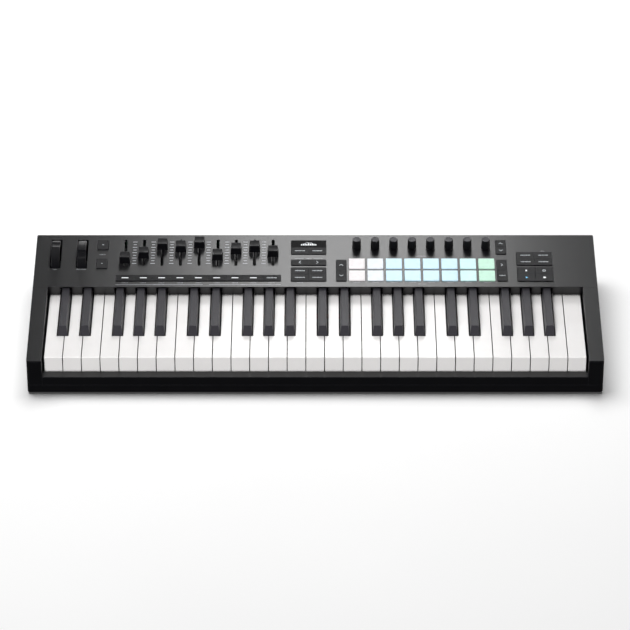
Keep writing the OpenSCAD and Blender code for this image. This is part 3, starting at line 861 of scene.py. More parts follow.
@dataclass
class Panel:
    """The control panel's frame: x across, v up the slope from the encoders' row, w outwards."""

    origin: Vector
    slope: float

    @classmethod
    def from_frame(cls) -> "Panel":
        """Finds the panel from the first encoder's joint, whose axis is square to it.

        Returns:
            The panel.
        """
        data = joint("encoder_1_turn")
        place, axis = Vector(data["pos_m"]), Vector(data["axis"])
        return cls(Vector((0, place.y, place.z)), math.atan2(-axis.y, axis.z))

    def matrix(self, x: float = 0.0, v: float = 0.0, w: float = 0.0) -> Matrix:
        """The move from the panel's frame to the row's.

        Args:
            x: Across, in metres.
            v: Up the slope, in metres.
            w: Out of the panel, in metres.

        Returns:
            The 4 by 4 matrix.
        """
        turn = Matrix.Rotation(self.slope, 4, "X")
        return Matrix.Translation(self.origin) @ turn @ Matrix.Translation((x, v, w))

    def outline(self, node: str, above: float = 0.3 * MM) -> tuple[Vector, Vector]:
        """Corners, in the panel's frame, of what a node shows above the panel.

        Args:
            node: The node's name.
            above: Only vertices this far above the surface count, in metres.

        Returns:
            The lowest and highest corner.
        """
        back = self.matrix().inverted()
        points = [back @ vertex.co for vertex in frame["nodes"][node].data.vertices]
        shown = [p for p in points if p.z > above]
        low = Vector([min(p[i] for p in shown) for i in range(3)])
        high = Vector([max(p[i] for p in shown) for i in range(3)])
        return low, high

    def depth(self, node: str) -> float:
        """How far below the panel a node reaches, as a negative height in metres."""
        back = self.matrix().inverted()
        return min((back @ vertex.co).z for vertex in frame["nodes"][node].data.vertices)


# ---------------------------------------------------------------------------------------
# Printed and lit marks
# ---------------------------------------------------------------------------------------

@dataclass
class Marks:
    """Thin marks laid on a surface of the panel and joined into one piece."""

    panel: Panel
    height: float
    thickness: float = 0.06 * MM
    steepness: float = 0.5
    ring_bars: int = 12
    stroke_pitch: float = 1.5 * MM
    parts: list[Piece] = field(default_factory=list)

    def bar(self, start: tuple[float, float], end: tuple[float, float], width: float,
            overrun: float = 0.0) -> None:
        """Lays a straight bar with square ends.

        Args:
            start: One end of its middle line, as (x, v).
            end: The other end.
            width: Its width, in metres.
            overrun: How far it runs on in all, as a share of its width, to meet the next bar.
        """
        run = Vector((end[0] - start[0], end[1] - start[1]))
        centre = ((start[0] + end[0]) / 2, (start[1] + end[1]) / 2, self.height)
        clear_selection()
        bpy.ops.mesh.primitive_cube_add(
            size=1, location=centre, rotation=(0, 0, math.atan2(run.y, run.x)),
            scale=(run.length + width * overrun, width, self.thickness))
        self.parts.append(named_active("mark"))

    def disc(self, x: float, v: float, radius: float, sides: int = 24, turn: float = 0.0) -> None:
        """Lays a disc, or a polygon with few sides.

        Args:
            x: Across, in metres.
            v: Up the slope, in metres.
            radius: Its radius, in metres.
            sides: How many sides it has.
            turn: How far it is turned, in radians.
        """
        clear_selection()
        bpy.ops.mesh.primitive_cylinder_add(
            vertices=sides, radius=radius, depth=self.thickness, location=(x, v, self.height),
            rotation=(0, 0, turn))
        self.parts.append(named_active("mark"))

    def chevron(self, x: float, v: float, size: float, heading: float, width: float) -> None:
        """Draws an arrow head from two bars.

        Args:
            x: Across, in metres.
            v: Up the slope, in metres.
            size: Half its width, in metres.
            heading: Which way it points, in degrees from +v, clockwise.
            width: The bars' width, in metres.
        """
        turn = Matrix.Rotation(-math.radians(heading), 2)
        tip = turn @ Vector((0, size * self.steepness))
        for side in (-1, 1):
            end = turn @ Vector((side * size, -size * self.steepness))
            self.bar((x + tip.x, v + tip.y), (x + end.x, v + end.y), width, 0.6)

    def ring(self, x: float, v: float, radius: float, width: float, gap: int = 0) -> None:
        """Draws a circle from short bars, with some left out.

        Args:
            x: Across, in metres.
            v: Up the slope, in metres.
            radius: Its radius, in metres.
            width: The bars' width, in metres.
            gap: How many of the bars are left out.
        """
        turns = [math.tau * k / self.ring_bars for k in range(self.ring_bars + 1)]
        points = [(x + radius * math.cos(turn), v + radius * math.sin(turn)) for turn in turns]
        for start, end in list(zip(points, points[1:]))[gap:]:
            self.bar(start, end, width, 0.3)

    def word(self, x: float, v: float, length: float, tall: float = 0.9 * MM) -> None:
        """Stands a row of short strokes where a legend would be.

        Args:
            x: The middle, across, in metres.
            v: The middle, up the slope, in metres.
            length: The row's length, in metres.
            tall: The strokes' height, in metres.
        """
        count = max(2, round(length / self.stroke_pitch))
        step = length / count
        for k in range(count):
            left = x - length / 2 + k * step
            self.bar((left + 0.2 * step, v), (left + 0.72 * step, v), tall * (1.0 if k % 3 else 0.7))

    def build(self, name: str, finish: Finish, body: str, slot: str) -> None:
        """Joins the marks and mounts them.

        Args:
            name: The piece's name.
            finish: Its finish.
            body: The body it rides on.
            slot: The record's material slot.
        """
        piece = shift(join(name, self.parts), self.panel.matrix())
        dress(piece, finish.material)
        mount(piece, body, slot)


# ---------------------------------------------------------------------------------------
# The case and what is inside it
# ---------------------------------------------------------------------------------------

def keep_shapes(finishes: dict[str, Finish]) -> None:
    """Dresses nodes that keep their frame shapes.

    Args:
        finishes: Each node's finish.
    """
    for node, finish in finishes.items():
        dress(frame["nodes"][node], finish.material)
        LOG.info("%s keeps its frame shape", node)


@dataclass
class Case:
    """The shells, the feet, the screws and the sockets, whose frame shapes are kept."""

    finishes: dict[str, Finish] = field(default_factory=lambda: {
        "top_case": Finish.CASE, "cheeks_and_rail": Finish.CASE, "bottom_case": Finish.CASE,
        "rubber_feet": Finish.FOOT, "rear_sockets": Finish.SOCKET, "case_screws": Finish.STEEL})

    def build(self) -> None:
        """Dresses each kept shell; its finish rounds the edges it shows."""
        keep_shapes(self.finishes)


@dataclass
class Innards:
    """The pieces inside the case, whose frame shapes are kept."""

    finishes: dict[str, Finish] = field(default_factory=lambda: {
        "key_chassis": Finish.CHASSIS, "pivot_rod": Finish.STEEL, "key_springs": Finish.STEEL,
        "felt_strips": Finish.FELT, "contact_domes": Finish.DOME,
        "circuit_boards": Finish.DARK_BOARD, "fader_tracks": Finish.SOCKET, "encoder_bodies": Finish.CAN,
        "wheel_cradle": Finish.CHASSIS})

    def build(self) -> None:
        """Dresses each kept piece."""
        keep_shapes(self.finishes)


# ---------------------------------------------------------------------------------------
# The keybed
# ---------------------------------------------------------------------------------------

NOTES = ("c", "c_sharp", "d", "d_sharp", "e", "f", "f_sharp", "g", "g_sharp", "a", "a_sharp", "b")
NATURALS = ("c", "d", "e", "f", "g", "a", "b")


@dataclass
class Keybed:
    """All the keys. Places follow the octave's pattern of seven wide and five narrow keys."""

    octaves: int = 4
    pitch: float = 23.5 * MM
    gap: float = 1.1 * MM
    head: float = 47.2 * MM
    skirt: float = 13.0 * MM
    wall: float = 2.0 * MM
    sharp_width: float = 12.6 * MM
    sharp_top: float = 9.4 * MM
    sharp_nose: float = 4.5 * MM
    beam_width: float = 8.0 * MM
    beam_depth: float = 6.0 * MM
    boss_radius: float = 4.5 * MM
    bore_radius: float = 2.08 * MM
    boss_clearance: float = 0.8 * MM
    actuator_back: float = 75.7 * MM
    actuator_drop: float = 7.0 * MM
    hook_half: float = 2.0 * MM
    hook_thick: float = 3.0 * MM
    tail_run: float = 144.6 * MM
    tail_lap: float = 6.0 * MM
    lip_run: float = 135.9 * MM
    sharp_depth: float = 9.0 * MM
    sharp_rear_gap: float = 3.2 * MM
    sharp_step: float = 3.0 * MM
    sharp_drop: float = 4.0 * MM
    front: float = 0.0
    top: float = 0.0
    low: float = 0.0
    tail_end: float = 0.0
    tail_back: float = 0.0
    lip: float = 0.0
    sharp_high: float = 0.0
    sharp_low: float = 0.0
    sharp_front: float = 0.0
    pivot: Vector = field(default_factory=Vector)

    def measure(self) -> None:
        """Takes the keys' place from the frame."""
        low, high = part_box("key_c")
        self.front, self.low, self.top, self.tail_end = low.y, low.z, high.z, high.y
        low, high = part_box("key_c_sharp")
        self.sharp_high, self.sharp_front = high.z, low.y
        self.sharp_low = self.top - self.sharp_depth
        self.pivot = Vector(joint("key_c_press")["pos_m"])
        self.tail_back = self.front + self.tail_run
        self.lip = self.front + self.lip_run

    @property
    def left(self) -> float:
        """The left edge of the lowest key's space."""
        return -(7 * self.octaves + 1) * self.pitch / 2

    def octave_left(self, octave: int) -> float:
        """The left edge of an octave."""
        return self.left + octave * 7 * self.pitch

    def slot_left(self, note: int) -> float:
        """Left edge of a note's space at the back of the keys, from its octave's left edge."""
        if note < 5:
            return note * 3 * self.pitch / 5
        return 3 * self.pitch + (note - 5) * 4 * self.pitch / 7

    def tail(self, name: str, x: float) -> list[Piece]:
        """The hidden rear of a key: beam, pivot boss, spring hook and contact actuator.

        Args:
            name: The key's name.
            x: The middle of the key's rear, in metres.

        Returns:
            The parts, still apart.
        """
        pivot = Vector((x, self.pivot.y, self.pivot.z))
        half = self.beam_width / 2
        low = pivot.z - self.beam_depth / 2
        reach = self.bore_radius + self.boss_clearance
        side, hook = Vector((half, 0, 0)), self.hook_half
        beam = block(name + "_beam", (x - half, self.tail_back - self.tail_lap, low),
                     (x + half, pivot.y - reach, low + self.beam_depth))
        boss = rod(name + "_boss", self.boss_radius, pivot - side, pivot + side, 32)
        cut(boss, rod("bore", self.bore_radius, pivot - 2 * side, pivot + 2 * side, 32))
        catch = block(name + "_hook", (x - hook, pivot.y + reach, low),
                      (x + hook, self.tail_end, low + self.hook_thick))
        middle = self.front + self.actuator_back
        foot = self.top - self.skirt - self.actuator_drop
        actuator = block(name + "_actuator", (x - hook, middle - hook, foot),
                         (x + hook, middle + hook, self.top - self.wall / 2))
        parts = [beam, boss, catch, actuator]
        for part in parts:
            soften(part, 0.3 * MM, 2)
        return parts

    def natural(self, name: str, head: tuple[float, float], tail: tuple[float, float]) -> Piece:
        """Models a white key: an open-bottomed shell with a wide head and a narrow tail.

        Args:
            name: The key's name.
            head: Left and right edge of the head, in metres.
            tail: Left and right edge of the tail, in metres.

        Returns:
            The finished key.
        """
        head_back = self.front + self.head
        floor = self.top - self.skirt
        key = block(name, (head[0], self.front, floor), (head[1], head_back, self.top))
        for edge in tail:
            if head[0] + HAIR < edge < head[1] - HAIR:
                slice_at(key, 0, edge)
        extrude_faces(key, lambda c, n: n.y > SQUARE and tail[0] < c.x < tail[1],
                      (0, self.tail_back - head_back, 0))
        delete_faces(key, lambda c, n: n.z < -SQUARE)
        pick_edges(key, lambda a, b: max(a.y, b.y) < self.front + HAIR and max(a.z, b.z) < floor + HAIR)
        bpy.ops.mesh.extrude_region_move(TRANSFORM_OT_translate={"value": (0, 0, self.low - floor)})
        leave_edit()
        bevel_edges(key, lambda a, b: max(a.y, b.y) < self.front + HAIR
                    and min(a.z, b.z) > self.top - HAIR, 1.1 * MM, 5)
        apply_modifier(key, "SOLIDIFY", thickness=self.wall, offset=-1, use_even_offset=True)
        pick_faces(key, lambda c, n: n.z < -0.7 and c.z > self.top - 3 * self.wall)
        bpy.ops.transform.resize(value=(1, 1, 0), center_override=(0, 0, self.top - self.wall))
        leave_edit()
        soften(key, 0.6 * MM, 3)
        return join(name, [key, *self.tail(name, sum(tail) / 2)])

    def sharp(self, name: str, x: float) -> Piece:
        """Models a black key: sides and nose slope inwards, and its underside is open.

        Args:
            name: The key's name.
            x: Its middle, in metres.

        Returns:
            The finished key.
        """
        half = self.sharp_width / 2
        rear = self.tail_back - self.sharp_rear_gap
        key = block(name, (x - half, self.sharp_front, self.sharp_low), (x + half, rear, self.sharp_high))
        slice_at(key, 2, self.top)
        slice_at(key, 1, self.lip + self.sharp_step)
        pick_faces(key, lambda c, n: n.z > SQUARE)
        bpy.ops.transform.resize(value=(self.sharp_top / self.sharp_width, 1, 1),
                                 center_override=(x, 0, self.sharp_high))
        leave_edit()
        pick_edges(key, lambda a, b: min(a.z, b.z) > self.sharp_high - HAIR
                   and max(a.y, b.y) < self.sharp_front + HAIR)
        bpy.ops.transform.translate(value=(0, self.sharp_nose, 0))
        leave_edit()
        pick_edges(key, lambda a, b: min(a.z, b.z) > self.sharp_high - HAIR and min(a.y, b.y) > rear - HAIR)
        bpy.ops.transform.translate(value=(0, 0, -self.sharp_drop))
        leave_edit()
        delete_faces(key, lambda c, n: n.z < -SQUARE)
        apply_modifier(key, "SOLIDIFY", thickness=self.wall, offset=-1, use_even_offset=True)
        soften(key, 0.55 * MM, 4, 20)
        return join(name, [key, *self.tail(name, x)])

    def build(self) -> None:
        """Models each shape of key once and sets it out over the octaves."""
        self.measure()
        half = self.gap / 2
        sharp_key = None
        for note, label in enumerate(NOTES):
            node = "key_" + label
            left = self.octave_left(0)
            rear = (left + self.slot_left(note), left + self.slot_left(note + 1))
            if "sharp" in label:
                middle = sum(rear) / 2
                if sharp_key is None:
                    sharp_key, sharp_x = self.sharp(node + "_octave_1", middle), middle
                    first = sharp_key
                else:
                    across = Matrix.Translation((middle - sharp_x, 0, 0))
                    first = twin(sharp_key, node + "_octave_1", across)
                finish, slot = Finish.BLACK, "black_key"
            else:
                place = left + NATURALS.index(label) * self.pitch
                first = self.natural(node + "_octave_1", (place + half, place + self.pitch - half),
                                     (rear[0] + half, rear[1] - half))
                finish, slot = Finish.WHITE, "white_key"
            dress(first, finish.material)
            keys = [first]
            for k in range(1, self.octaves):
                across = Matrix.Translation((len(NATURALS) * self.pitch * k, 0, 0))
                keys.append(twin(first, f"{node}_octave_{k + 1}", across))
            if label == "c":
                place = self.octave_left(self.octaves)
                edges = (place + half, place + self.pitch - half)
                last = self.natural("key_c_top", edges, edges)
                dress(last, finish.material)
                keys.append(last)
            mount(keys[0], node, slot, node)
            for key in keys[1:]:
                mount(key, node, slot)


# ---------------------------------------------------------------------------------------
# Wheels, faders and encoders
# ---------------------------------------------------------------------------------------

FADER_CAP_FROM = 2.0 * MM - HAIR      # a fader's cap is all that stands higher above the panel


@dataclass
class Wheels:
    """The two hand wheels at the left of the panel."""

    width: float = 10.8 * MM
    hub: float = 6.0 * MM
    rim: float = 4.0 * MM
    web: float = 3.0 * MM
    bore: float = 3.08 * MM
    dimple_radius: float = 12.5 * MM
    dimple_out: float = 10.2 * MM
    edge: float = 1.0 * MM
    rib_pitch: float = 5.5
    rib_half: float = 0.45 * MM
    rib_margin: float = 0.8 * MM
    rib_depth: float = 2.0 * MM
    rib_spread: float = 0.35 * MM

    def wheel(self, name: str, place: Vector, radius: float, turn: float, ribs: int) -> Piece:
        """Models one wheel with a finger dimple.

        Args:
            name: The wheel's name.
            place: Its hub, in metres.
            radius: Its radius, in metres.
            turn: How far the dimple leans to the rear, in degrees.
            ribs: How many grip ribs stand in the dimple.

        Returns:
            The finished wheel.
        """
        half, rim, web = self.width / 2, radius - self.rim, self.web / 2
        edge = self.edge
        disc = turned(name, [
            (self.hub, -half), (self.hub, -web), (rim, -web), (rim, -half), (radius - edge, -half),
            (radius - 0.3 * edge, -half + 0.3 * edge), (radius, -half + edge), (radius, half - edge),
            (radius - 0.3 * edge, half - 0.3 * edge), (radius - edge, half), (rim, half), (rim, web),
            (self.hub, web), (self.hub, half)], 128)
        reach = Vector((0, 0, self.width))
        finger = Vector((0, radius + self.dimple_out, 0))
        dimple = rod("dimple", self.dimple_radius, finger - reach, finger + reach, 96)
        bore = rod("bore", self.bore, -reach, reach, 48)
        cut(disc, dimple, bore)
        soften(disc, 0.25 * MM, 2)
        parts = [disc]
        for k in range(ribs):
            lean = math.radians(self.rib_pitch) * (k - (ribs - 1) / 2)
            out = radius - self.rib_depth + self.rib_spread * abs(k - (ribs - 1) / 2)
            rib = block("rib", (-self.rib_half, out - 0.6 * MM, -half + self.rib_margin),
                        (self.rib_half, out + 0.55 * MM, half - self.rib_margin))
            soften(rib, 0.3 * MM, 3)
            parts.append(shift(rib, Matrix.Rotation(lean, 4, "Z")))
        piece = join(name, parts)
        upright = Matrix.Rotation(math.radians(90), 4, "Y") @ Matrix.Rotation(math.radians(90), 4, "Z")
        shift(piece, Matrix.Rotation(math.radians(-turn), 4, "X") @ upright)
        return shift(piece, Matrix.Translation(place))

    def build(self, panel: Panel) -> None:
        """Builds both wheels.

        Args:
            panel: The panel's frame.
        """
        for node, turn, ribs in (("pitch_wheel", 0.0, 0), ("modulation_wheel", -33.0, 2)):
            place = Vector(joint(node + "_turn")["pos_m"])
            radius = place.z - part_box(node)[0].z
            lean = math.degrees(panel.slope) + turn
            piece = self.wheel(node + "_moulding", place, radius, lean, ribs)
            dress(piece, Finish.WHEEL.material)
            mount(piece, node, "wheel", node)


@dataclass
class Faders:
    """Fader caps on their levers."""

    count: int = 9
    lever_width: float = 1.6 * MM
    lever_depth: float = 3.0 * MM
    cap_taper: float = 2.4 * MM
    nose_in: float = 0.9 * MM
    nose_down: float = 1.2 * MM
    back_in: float = 1.0 * MM
    hollow_radius: float = 10.0 * MM
    hollow_height: float = 8.4 * MM

    def cap(self, name: str, low: Vector, high: Vector) -> Piece:
        """Models a cap: it narrows upwards and has a hollow for the finger.

        Args:
            name: The cap's name.
            low: Its lowest corner, about its own middle, in metres.
            high: Its highest corner.

        Returns:
            The cap.
        """
        cap = block(name, low, high)
        pick_faces(cap, lambda c, n: n.z > SQUARE)
        width = high.x - low.x
        bpy.ops.transform.resize(value=((width - self.cap_taper) / width, 1, 1),
                                 center_override=(0, 0, high.z))
        leave_edit()
        pick_edges(cap, lambda a, b: min(a.z, b.z) > high.z - HAIR and max(a.y, b.y) < 0)
        bpy.ops.transform.translate(value=(0, self.nose_in, -self.nose_down))
        leave_edit()
        pick_edges(cap, lambda a, b: min(a.z, b.z) > high.z - HAIR and min(a.y, b.y) > 0)
        bpy.ops.transform.translate(value=(0, -self.back_in, 0))
        leave_edit()
        reach = Vector((2 * self.hollow_radius, 0, 0))
        middle = Vector((0, -self.nose_down, high.z + self.hollow_height))
        cut(cap, rod("hollow", self.hollow_radius, middle - reach, middle + reach, 160))
        soften(cap, 0.45 * MM, 3, 25)
        return cap

    def build(self, panel: Panel) -> None:
        """Builds all the faders.

        Args:
            panel: The panel's frame.
        """
        first = None
        for number in range(1, self.count + 1):
            node = f"fader_{number}"
            low, high = panel.outline(node, FADER_CAP_FROM)
            middle = (low + high) / 2
            if first is None:
                half = (high - low) / 2
                cap = self.cap("cap", Vector((-half.x, -half.y, low.z)), Vector((half.x, half.y, high.z)))
                lever = block("lever", (-self.lever_width / 2, -self.lever_depth / 2, panel.depth(node)),
                              (self.lever_width / 2, self.lever_depth / 2, low.z + 2 * MM))
                soften(lever, 0.2 * MM, 2)
                first = join("fader_pattern", [cap, lever])
                dress(first, Finish.KNOB.material)
            piece = twin(first, node + "_cap", panel.matrix(middle.x, middle.y, 0))
            mount(piece, node, "knob", node)
        bpy.data.objects.remove(first)


@dataclass
class Encoders:
    """Endless encoder knobs: dark skirts and grey caps."""

    count: int = 8
    shaft: float = 3.0 * MM

    def build(self, panel: Panel) -> None:
        """Builds all the knobs.

        Args:
            panel: The panel's frame.
        """
        low, high = panel.outline("encoder_1", 0.7 * MM)
        radius = (high.x - low.x) / 2
        top = high.z
        knob = turned("encoder_pattern", [
            (radius - 0.7 * MM, low.z), (radius - 0.15 * MM, low.z + 0.25 * MM), (radius, low.z + 0.8 * MM),
            (radius - 0.5 * MM, top - 1.0 * MM), (radius - 0.75 * MM, top - 0.3 * MM),
            (radius - 1.2 * MM, top), (radius - 1.5 * MM, top), (radius - 1.65 * MM, top - 0.3 * MM)], 96)
        soften(knob, 0.08 * MM, 2, 30)
        shaft = rod("shaft", self.shaft, (0, 0, panel.depth("encoder_1")), (0, 0, low.z + 1 * MM), 48)
        soften(shaft, 0.2 * MM, 2)
        knob = join("encoder_pattern", [knob, shaft])
        dress(knob, Finish.KNOB.material, Finish.KNOB_TOP.material)
        for face in knob.data.polygons:
            if face.center.z > top - 0.5 * MM and face.normal.z > 0.5:
                face.material_index = 1
        for number in range(1, self.count + 1):
            node = f"encoder_{number}"
            place = Vector(joint(node + "_turn")["pos_m"])
            piece = twin(knob, node + "_knob", panel.matrix(place.x, 0, 0))
            mount(piece, node, "knob", node)
        bpy.data.objects.remove(knob)


# ---------------------------------------------------------------------------------------
# Buttons, pads and the display
# ---------------------------------------------------------------------------------------

class Symbol(Enum):
    """Plain signs for the keys."""

    PLUS = "plus"
    MINUS = "minus"
    BAR = "bar"
    WORD = "word"
    UP = "up"
    DOWN = "down"
    LEFT = "left"
    RIGHT = "right"
    STOP = "stop"
    LOOP = "loop"
    PLAY = "play"
    RECORD = "record"


HEADINGS = {Symbol.UP: 0, Symbol.RIGHT: 90, Symbol.DOWN: 180, Symbol.LEFT: 270}
SIGN_LIGHTS = {Symbol.BAR: Finish.LAMP, Symbol.STOP: Finish.LAMP, Symbol.RECORD: Finish.LAMP,
               Symbol.PLAY: Finish.BLUE}


@dataclass
class ButtonBlock:
    """One silicone moulding of keys, with its signs, listed from the front left, row by row."""

    node: str
    columns: int
    rows: int
    signs: Sequence[Symbol]
    groove: float = 0.4 * MM
    groove_depth: float = 0.4 * MM
    end_margin: float = 1.6 * MM
    side_margin: float = 1.4 * MM
    corner: float = 1.0 * MM
    flange_top: float = -2.7 * MM
    flange_thick: float = 1.2 * MM
    flange_lip: float = 1.0 * MM
    stem: float = 1.8 * MM

    def body(self, panel: Panel, low: Vector, high: Vector) -> Piece:
        """Models the moulding with its grooves, flange and stems.

        Args:
            panel: The panel's frame.
            low: The lowest corner of what shows, in the panel's frame.
            high: The highest corner.

        Returns:
            The moulding, in the panel's frame.
        """
        deep, flange_top, lip = panel.depth(self.node), self.flange_top, self.flange_lip
        plate = block(self.node, (low.x, low.y, flange_top - self.flange_thick / 2), high)
        bevel_edges(plate, lambda a, b: abs(a.z - b.z) > 1 * MM, self.corner, 5)
        width, depth = (high.x - low.x) / self.columns, (high.y - low.y) / self.rows
        half, floor, over = self.groove / 2, high.z - self.groove_depth, high.z + 1 * MM
        cutters = []
        for c in range(1, self.columns):
            x = low.x + c * width
            cutters.append(block("groove", (x - half, low.y + self.end_margin, floor),
                                 (x + half, high.y - self.end_margin, over)))
        for r in range(1, self.rows):
            v = low.y + r * depth
            for c in range(self.columns):
                x = low.x + c * width
                cutters.append(block("groove", (x + self.side_margin, v - half, floor),
                                     (x + width - self.side_margin, v + half, over)))
        cut(plate, *cutters)
        soften(plate, 0.16 * MM, 2)
        flange = block("flange", (low.x - lip, low.y - lip, flange_top - self.flange_thick),
                       (high.x + lip, high.y + lip, flange_top))
        soften(flange, 0.2 * MM, 2)
        stems = []
        for c in range(self.columns):
            for r in range(self.rows):
                x, v = low.x + (c + 0.5) * width, low.y + (r + 0.5) * depth
                stems.append(rod("stem", self.stem, (x, v, deep), (x, v, flange_top - 1 * MM), 24))
        return join(self.node + "_moulding", [plate, flange, *stems])

    def draw(self, marks: Marks, sign: Symbol, x: float, v: float, width: float) -> None:
        """Draws one key's sign.

        Args:
            marks: Where the strokes go.
            sign: What to draw.
            x: The key's middle, across.
            v: The key's middle, up the slope.
            width: The key's width.
        """
        thin, arm, lamp = 0.75 * MM, 0.9 * MM, 4.3 * MM
        if sign in (Symbol.PLUS, Symbol.MINUS):
            marks.bar((x - arm, v), (x + arm, v), thin)
            if sign is Symbol.PLUS:
                marks.bar((x, v - arm), (x, v + arm), thin)
        elif sign is Symbol.BAR:
            marks.bar((x - lamp, v), (x + lamp, v), 1.5 * MM)
        elif sign is Symbol.WORD:
            marks.word(x, v, min(0.62 * width, 13 * MM), 1.7 * MM)
        elif sign in HEADINGS:
            marks.chevron(x, v, 2.3 * MM, HEADINGS[sign], 0.55 * MM)
        elif sign is Symbol.STOP:
            marks.bar((x - 1.0 * MM, v), (x + 1.0 * MM, v), 3.0 * MM)
        elif sign is Symbol.LOOP:
            marks.ring(x, v, 1.7 * MM, thin, 2)
            marks.disc(x + 1.7 * MM, v + 0.4 * MM, 0.9 * MM, 3, math.pi / 2)
        elif sign is Symbol.PLAY:
            marks.disc(x, v, 2.1 * MM, 3, -math.pi / 2)
        elif sign is Symbol.RECORD:
            marks.disc(x, v, 1.8 * MM)

    def build(self, panel: Panel) -> None:
        """Builds and mounts the moulding and its signs.

        Args:
            panel: The panel's frame.
        """
        low, high = panel.outline(self.node)
        piece = shift(self.body(panel, low, high), panel.matrix())
        dress(piece, Finish.BUTTON.material)
        mount(piece, self.node, "button", self.node)
        width, depth = (high.x - low.x) / self.columns, (high.y - low.y) / self.rows
        tones: dict[Finish, Marks] = {}
        for index, sign in enumerate(self.signs):
            marks = tones.setdefault(SIGN_LIGHTS.get(sign, Finish.LEGEND), Marks(panel, high.z + LIFT))
            c, r = index % self.columns, index // self.columns
            self.draw(marks, sign, low.x + (c + 0.5) * width, low.y + (r + 0.5) * depth, width)
        for finish, marks in tones.items():
            marks.build(f"{self.node}_{finish.name.lower()}", finish, self.node, "button")


@dataclass
class Pads:
    """Two rows of lit pads."""

    count: int = 8
    rim: float = 1.0 * MM
    step: float = 0.2 * MM
    corner: float = 1.0 * MM
    bottom: float = -3.3 * MM
    web_top: float = -2.7 * MM
    web_thick: float = 1.2 * MM
    web_lip: float = 1.0 * MM
    colours: Sequence[tuple[Finish, Finish]] = (
        (Finish.PAD_WHITE, Finish.RIM_WHITE), (Finish.PAD_COOL, Finish.RIM_BLUE),
        (Finish.PAD_ICE, Finish.RIM_BLUE), (Finish.PAD_ICE, Finish.RIM_BLUE),
        (Finish.PAD_ICE, Finish.RIM_BLUE), (Finish.PAD_ICE, Finish.RIM_BLUE),
        (Finish.PAD_CYAN, Finish.RIM_GREEN), (Finish.PAD_MINT, Finish.RIM_GREEN))

    def pad(self, size: float, top: float) -> Piece:
        """Models one pad with a slightly raised middle.

        Args:
            size: Its width and depth, in metres.
            top: Its height above the panel, in metres.

        Returns:
            The pad, about its own middle.
        """
        half = size / 2
        plate = block("plate", (-half, -half, self.bottom), (half, half, top - self.step))
        bevel_edges(plate, lambda a, b: abs(a.z - b.z) > 1 * MM, self.corner, 5)
        soften(plate, 0.3 * MM, 3)
        inner = half - self.rim
        core = block("core", (-inner, -inner, top - 1.0 * MM), (inner, inner, top))
        bevel_edges(core, lambda a, b: abs(a.z - b.z) > 0.5 * MM, self.corner, 5)
        soften(core, 0.18 * MM, 3)
        dress(plate, Finish.RIM_WHITE.material)
        dress(core, Finish.PAD_WHITE.material)
        return join("pad_pattern", [core, plate])

    def build(self, panel: Panel) -> None:
        """Builds both rows.

        Args:
            panel: The panel's frame.
        """
        pattern = None
        for node in ("pad_row_front", "pad_row_rear"):
            low, high = panel.outline(node)
            size = high.y - low.y
            step = (high.x - low.x - size) / (self.count - 1)
            if pattern is None:
                pattern = self.pad(size, high.z)
            for k, (core, rim) in enumerate(self.colours):
                place = panel.matrix(low.x + size / 2 + k * step, (low.y + high.y) / 2, 0)
                pad = twin(pattern, f"{node}_pad_{k + 1}", place)
                dress(pad, core.material, rim.material)
                mount(pad, node, "pad")
            lip, web_top = self.web_lip, self.web_top
            web = block(node + "_web", (low.x - lip, low.y - lip, web_top - self.web_thick),
                        (high.x + lip, high.y + lip, web_top))
            soften(web, 0.2 * MM, 2)
            shift(web, panel.matrix())
            dress(web, Finish.RIM_WHITE.material)
            mount(web, node, "pad", node)
        bpy.data.objects.remove(pattern)


@dataclass
class Display:
    """The small display: a dark window and a plain lit graphic."""

    corner: float = 1.0 * MM
    window_bottom: float = -2.5 * MM
    module_top: float = -2.2 * MM
    graphic_pitch: float = 2.3 * MM
    graphic_drop: float = 2.4 * MM
    graphic_foot: float = 0.9 * MM
    levels: tuple[float, ...] = (2.6, 3.4, 4.2, 3.0, 4.6, 3.8, 4.4, 3.2, 2.4)

    def build(self, panel: Panel) -> None:
        """Builds the window, its module and the graphic.

        Args:
            panel: The panel's frame.
        """
        low, high = panel.outline("display")
        window = block("display_window", (low.x, low.y, self.window_bottom), high)
        bevel_edges(window, lambda a, b: abs(a.z - b.z) > 1 * MM, self.corner, 5)
        soften(window, 0.2 * MM, 3)
        module = block("module", (low.x + 1 * MM, low.y + 2 * MM, panel.depth("display")),
                       (high.x - 1 * MM, high.y - 1 * MM, self.module_top))
        soften(module, 0.3 * MM, 2)
        piece = shift(join("display_window", [window, module]), panel.matrix())
        dress(piece, Finish.WINDOW.material)
        mount(piece, "case", "window", "display")
        marks = Marks(panel, high.z + LIFT)
        x, v = (low.x + high.x) / 2, (low.y + high.y) / 2 - self.graphic_drop
        foot = v - self.graphic_foot
        for k, tall in enumerate(self.levels):
            middle = x + (k - (len(self.levels) - 1) / 2) * self.graphic_pitch
            marks.bar((middle, foot), (middle, foot + tall * MM), 1.5 * MM)
        marks.word(x, v + 5.0 * MM, 8 * MM, 0.8 * MM)
        marks.build("display_graphic", Finish.LAMP, "case", "window")


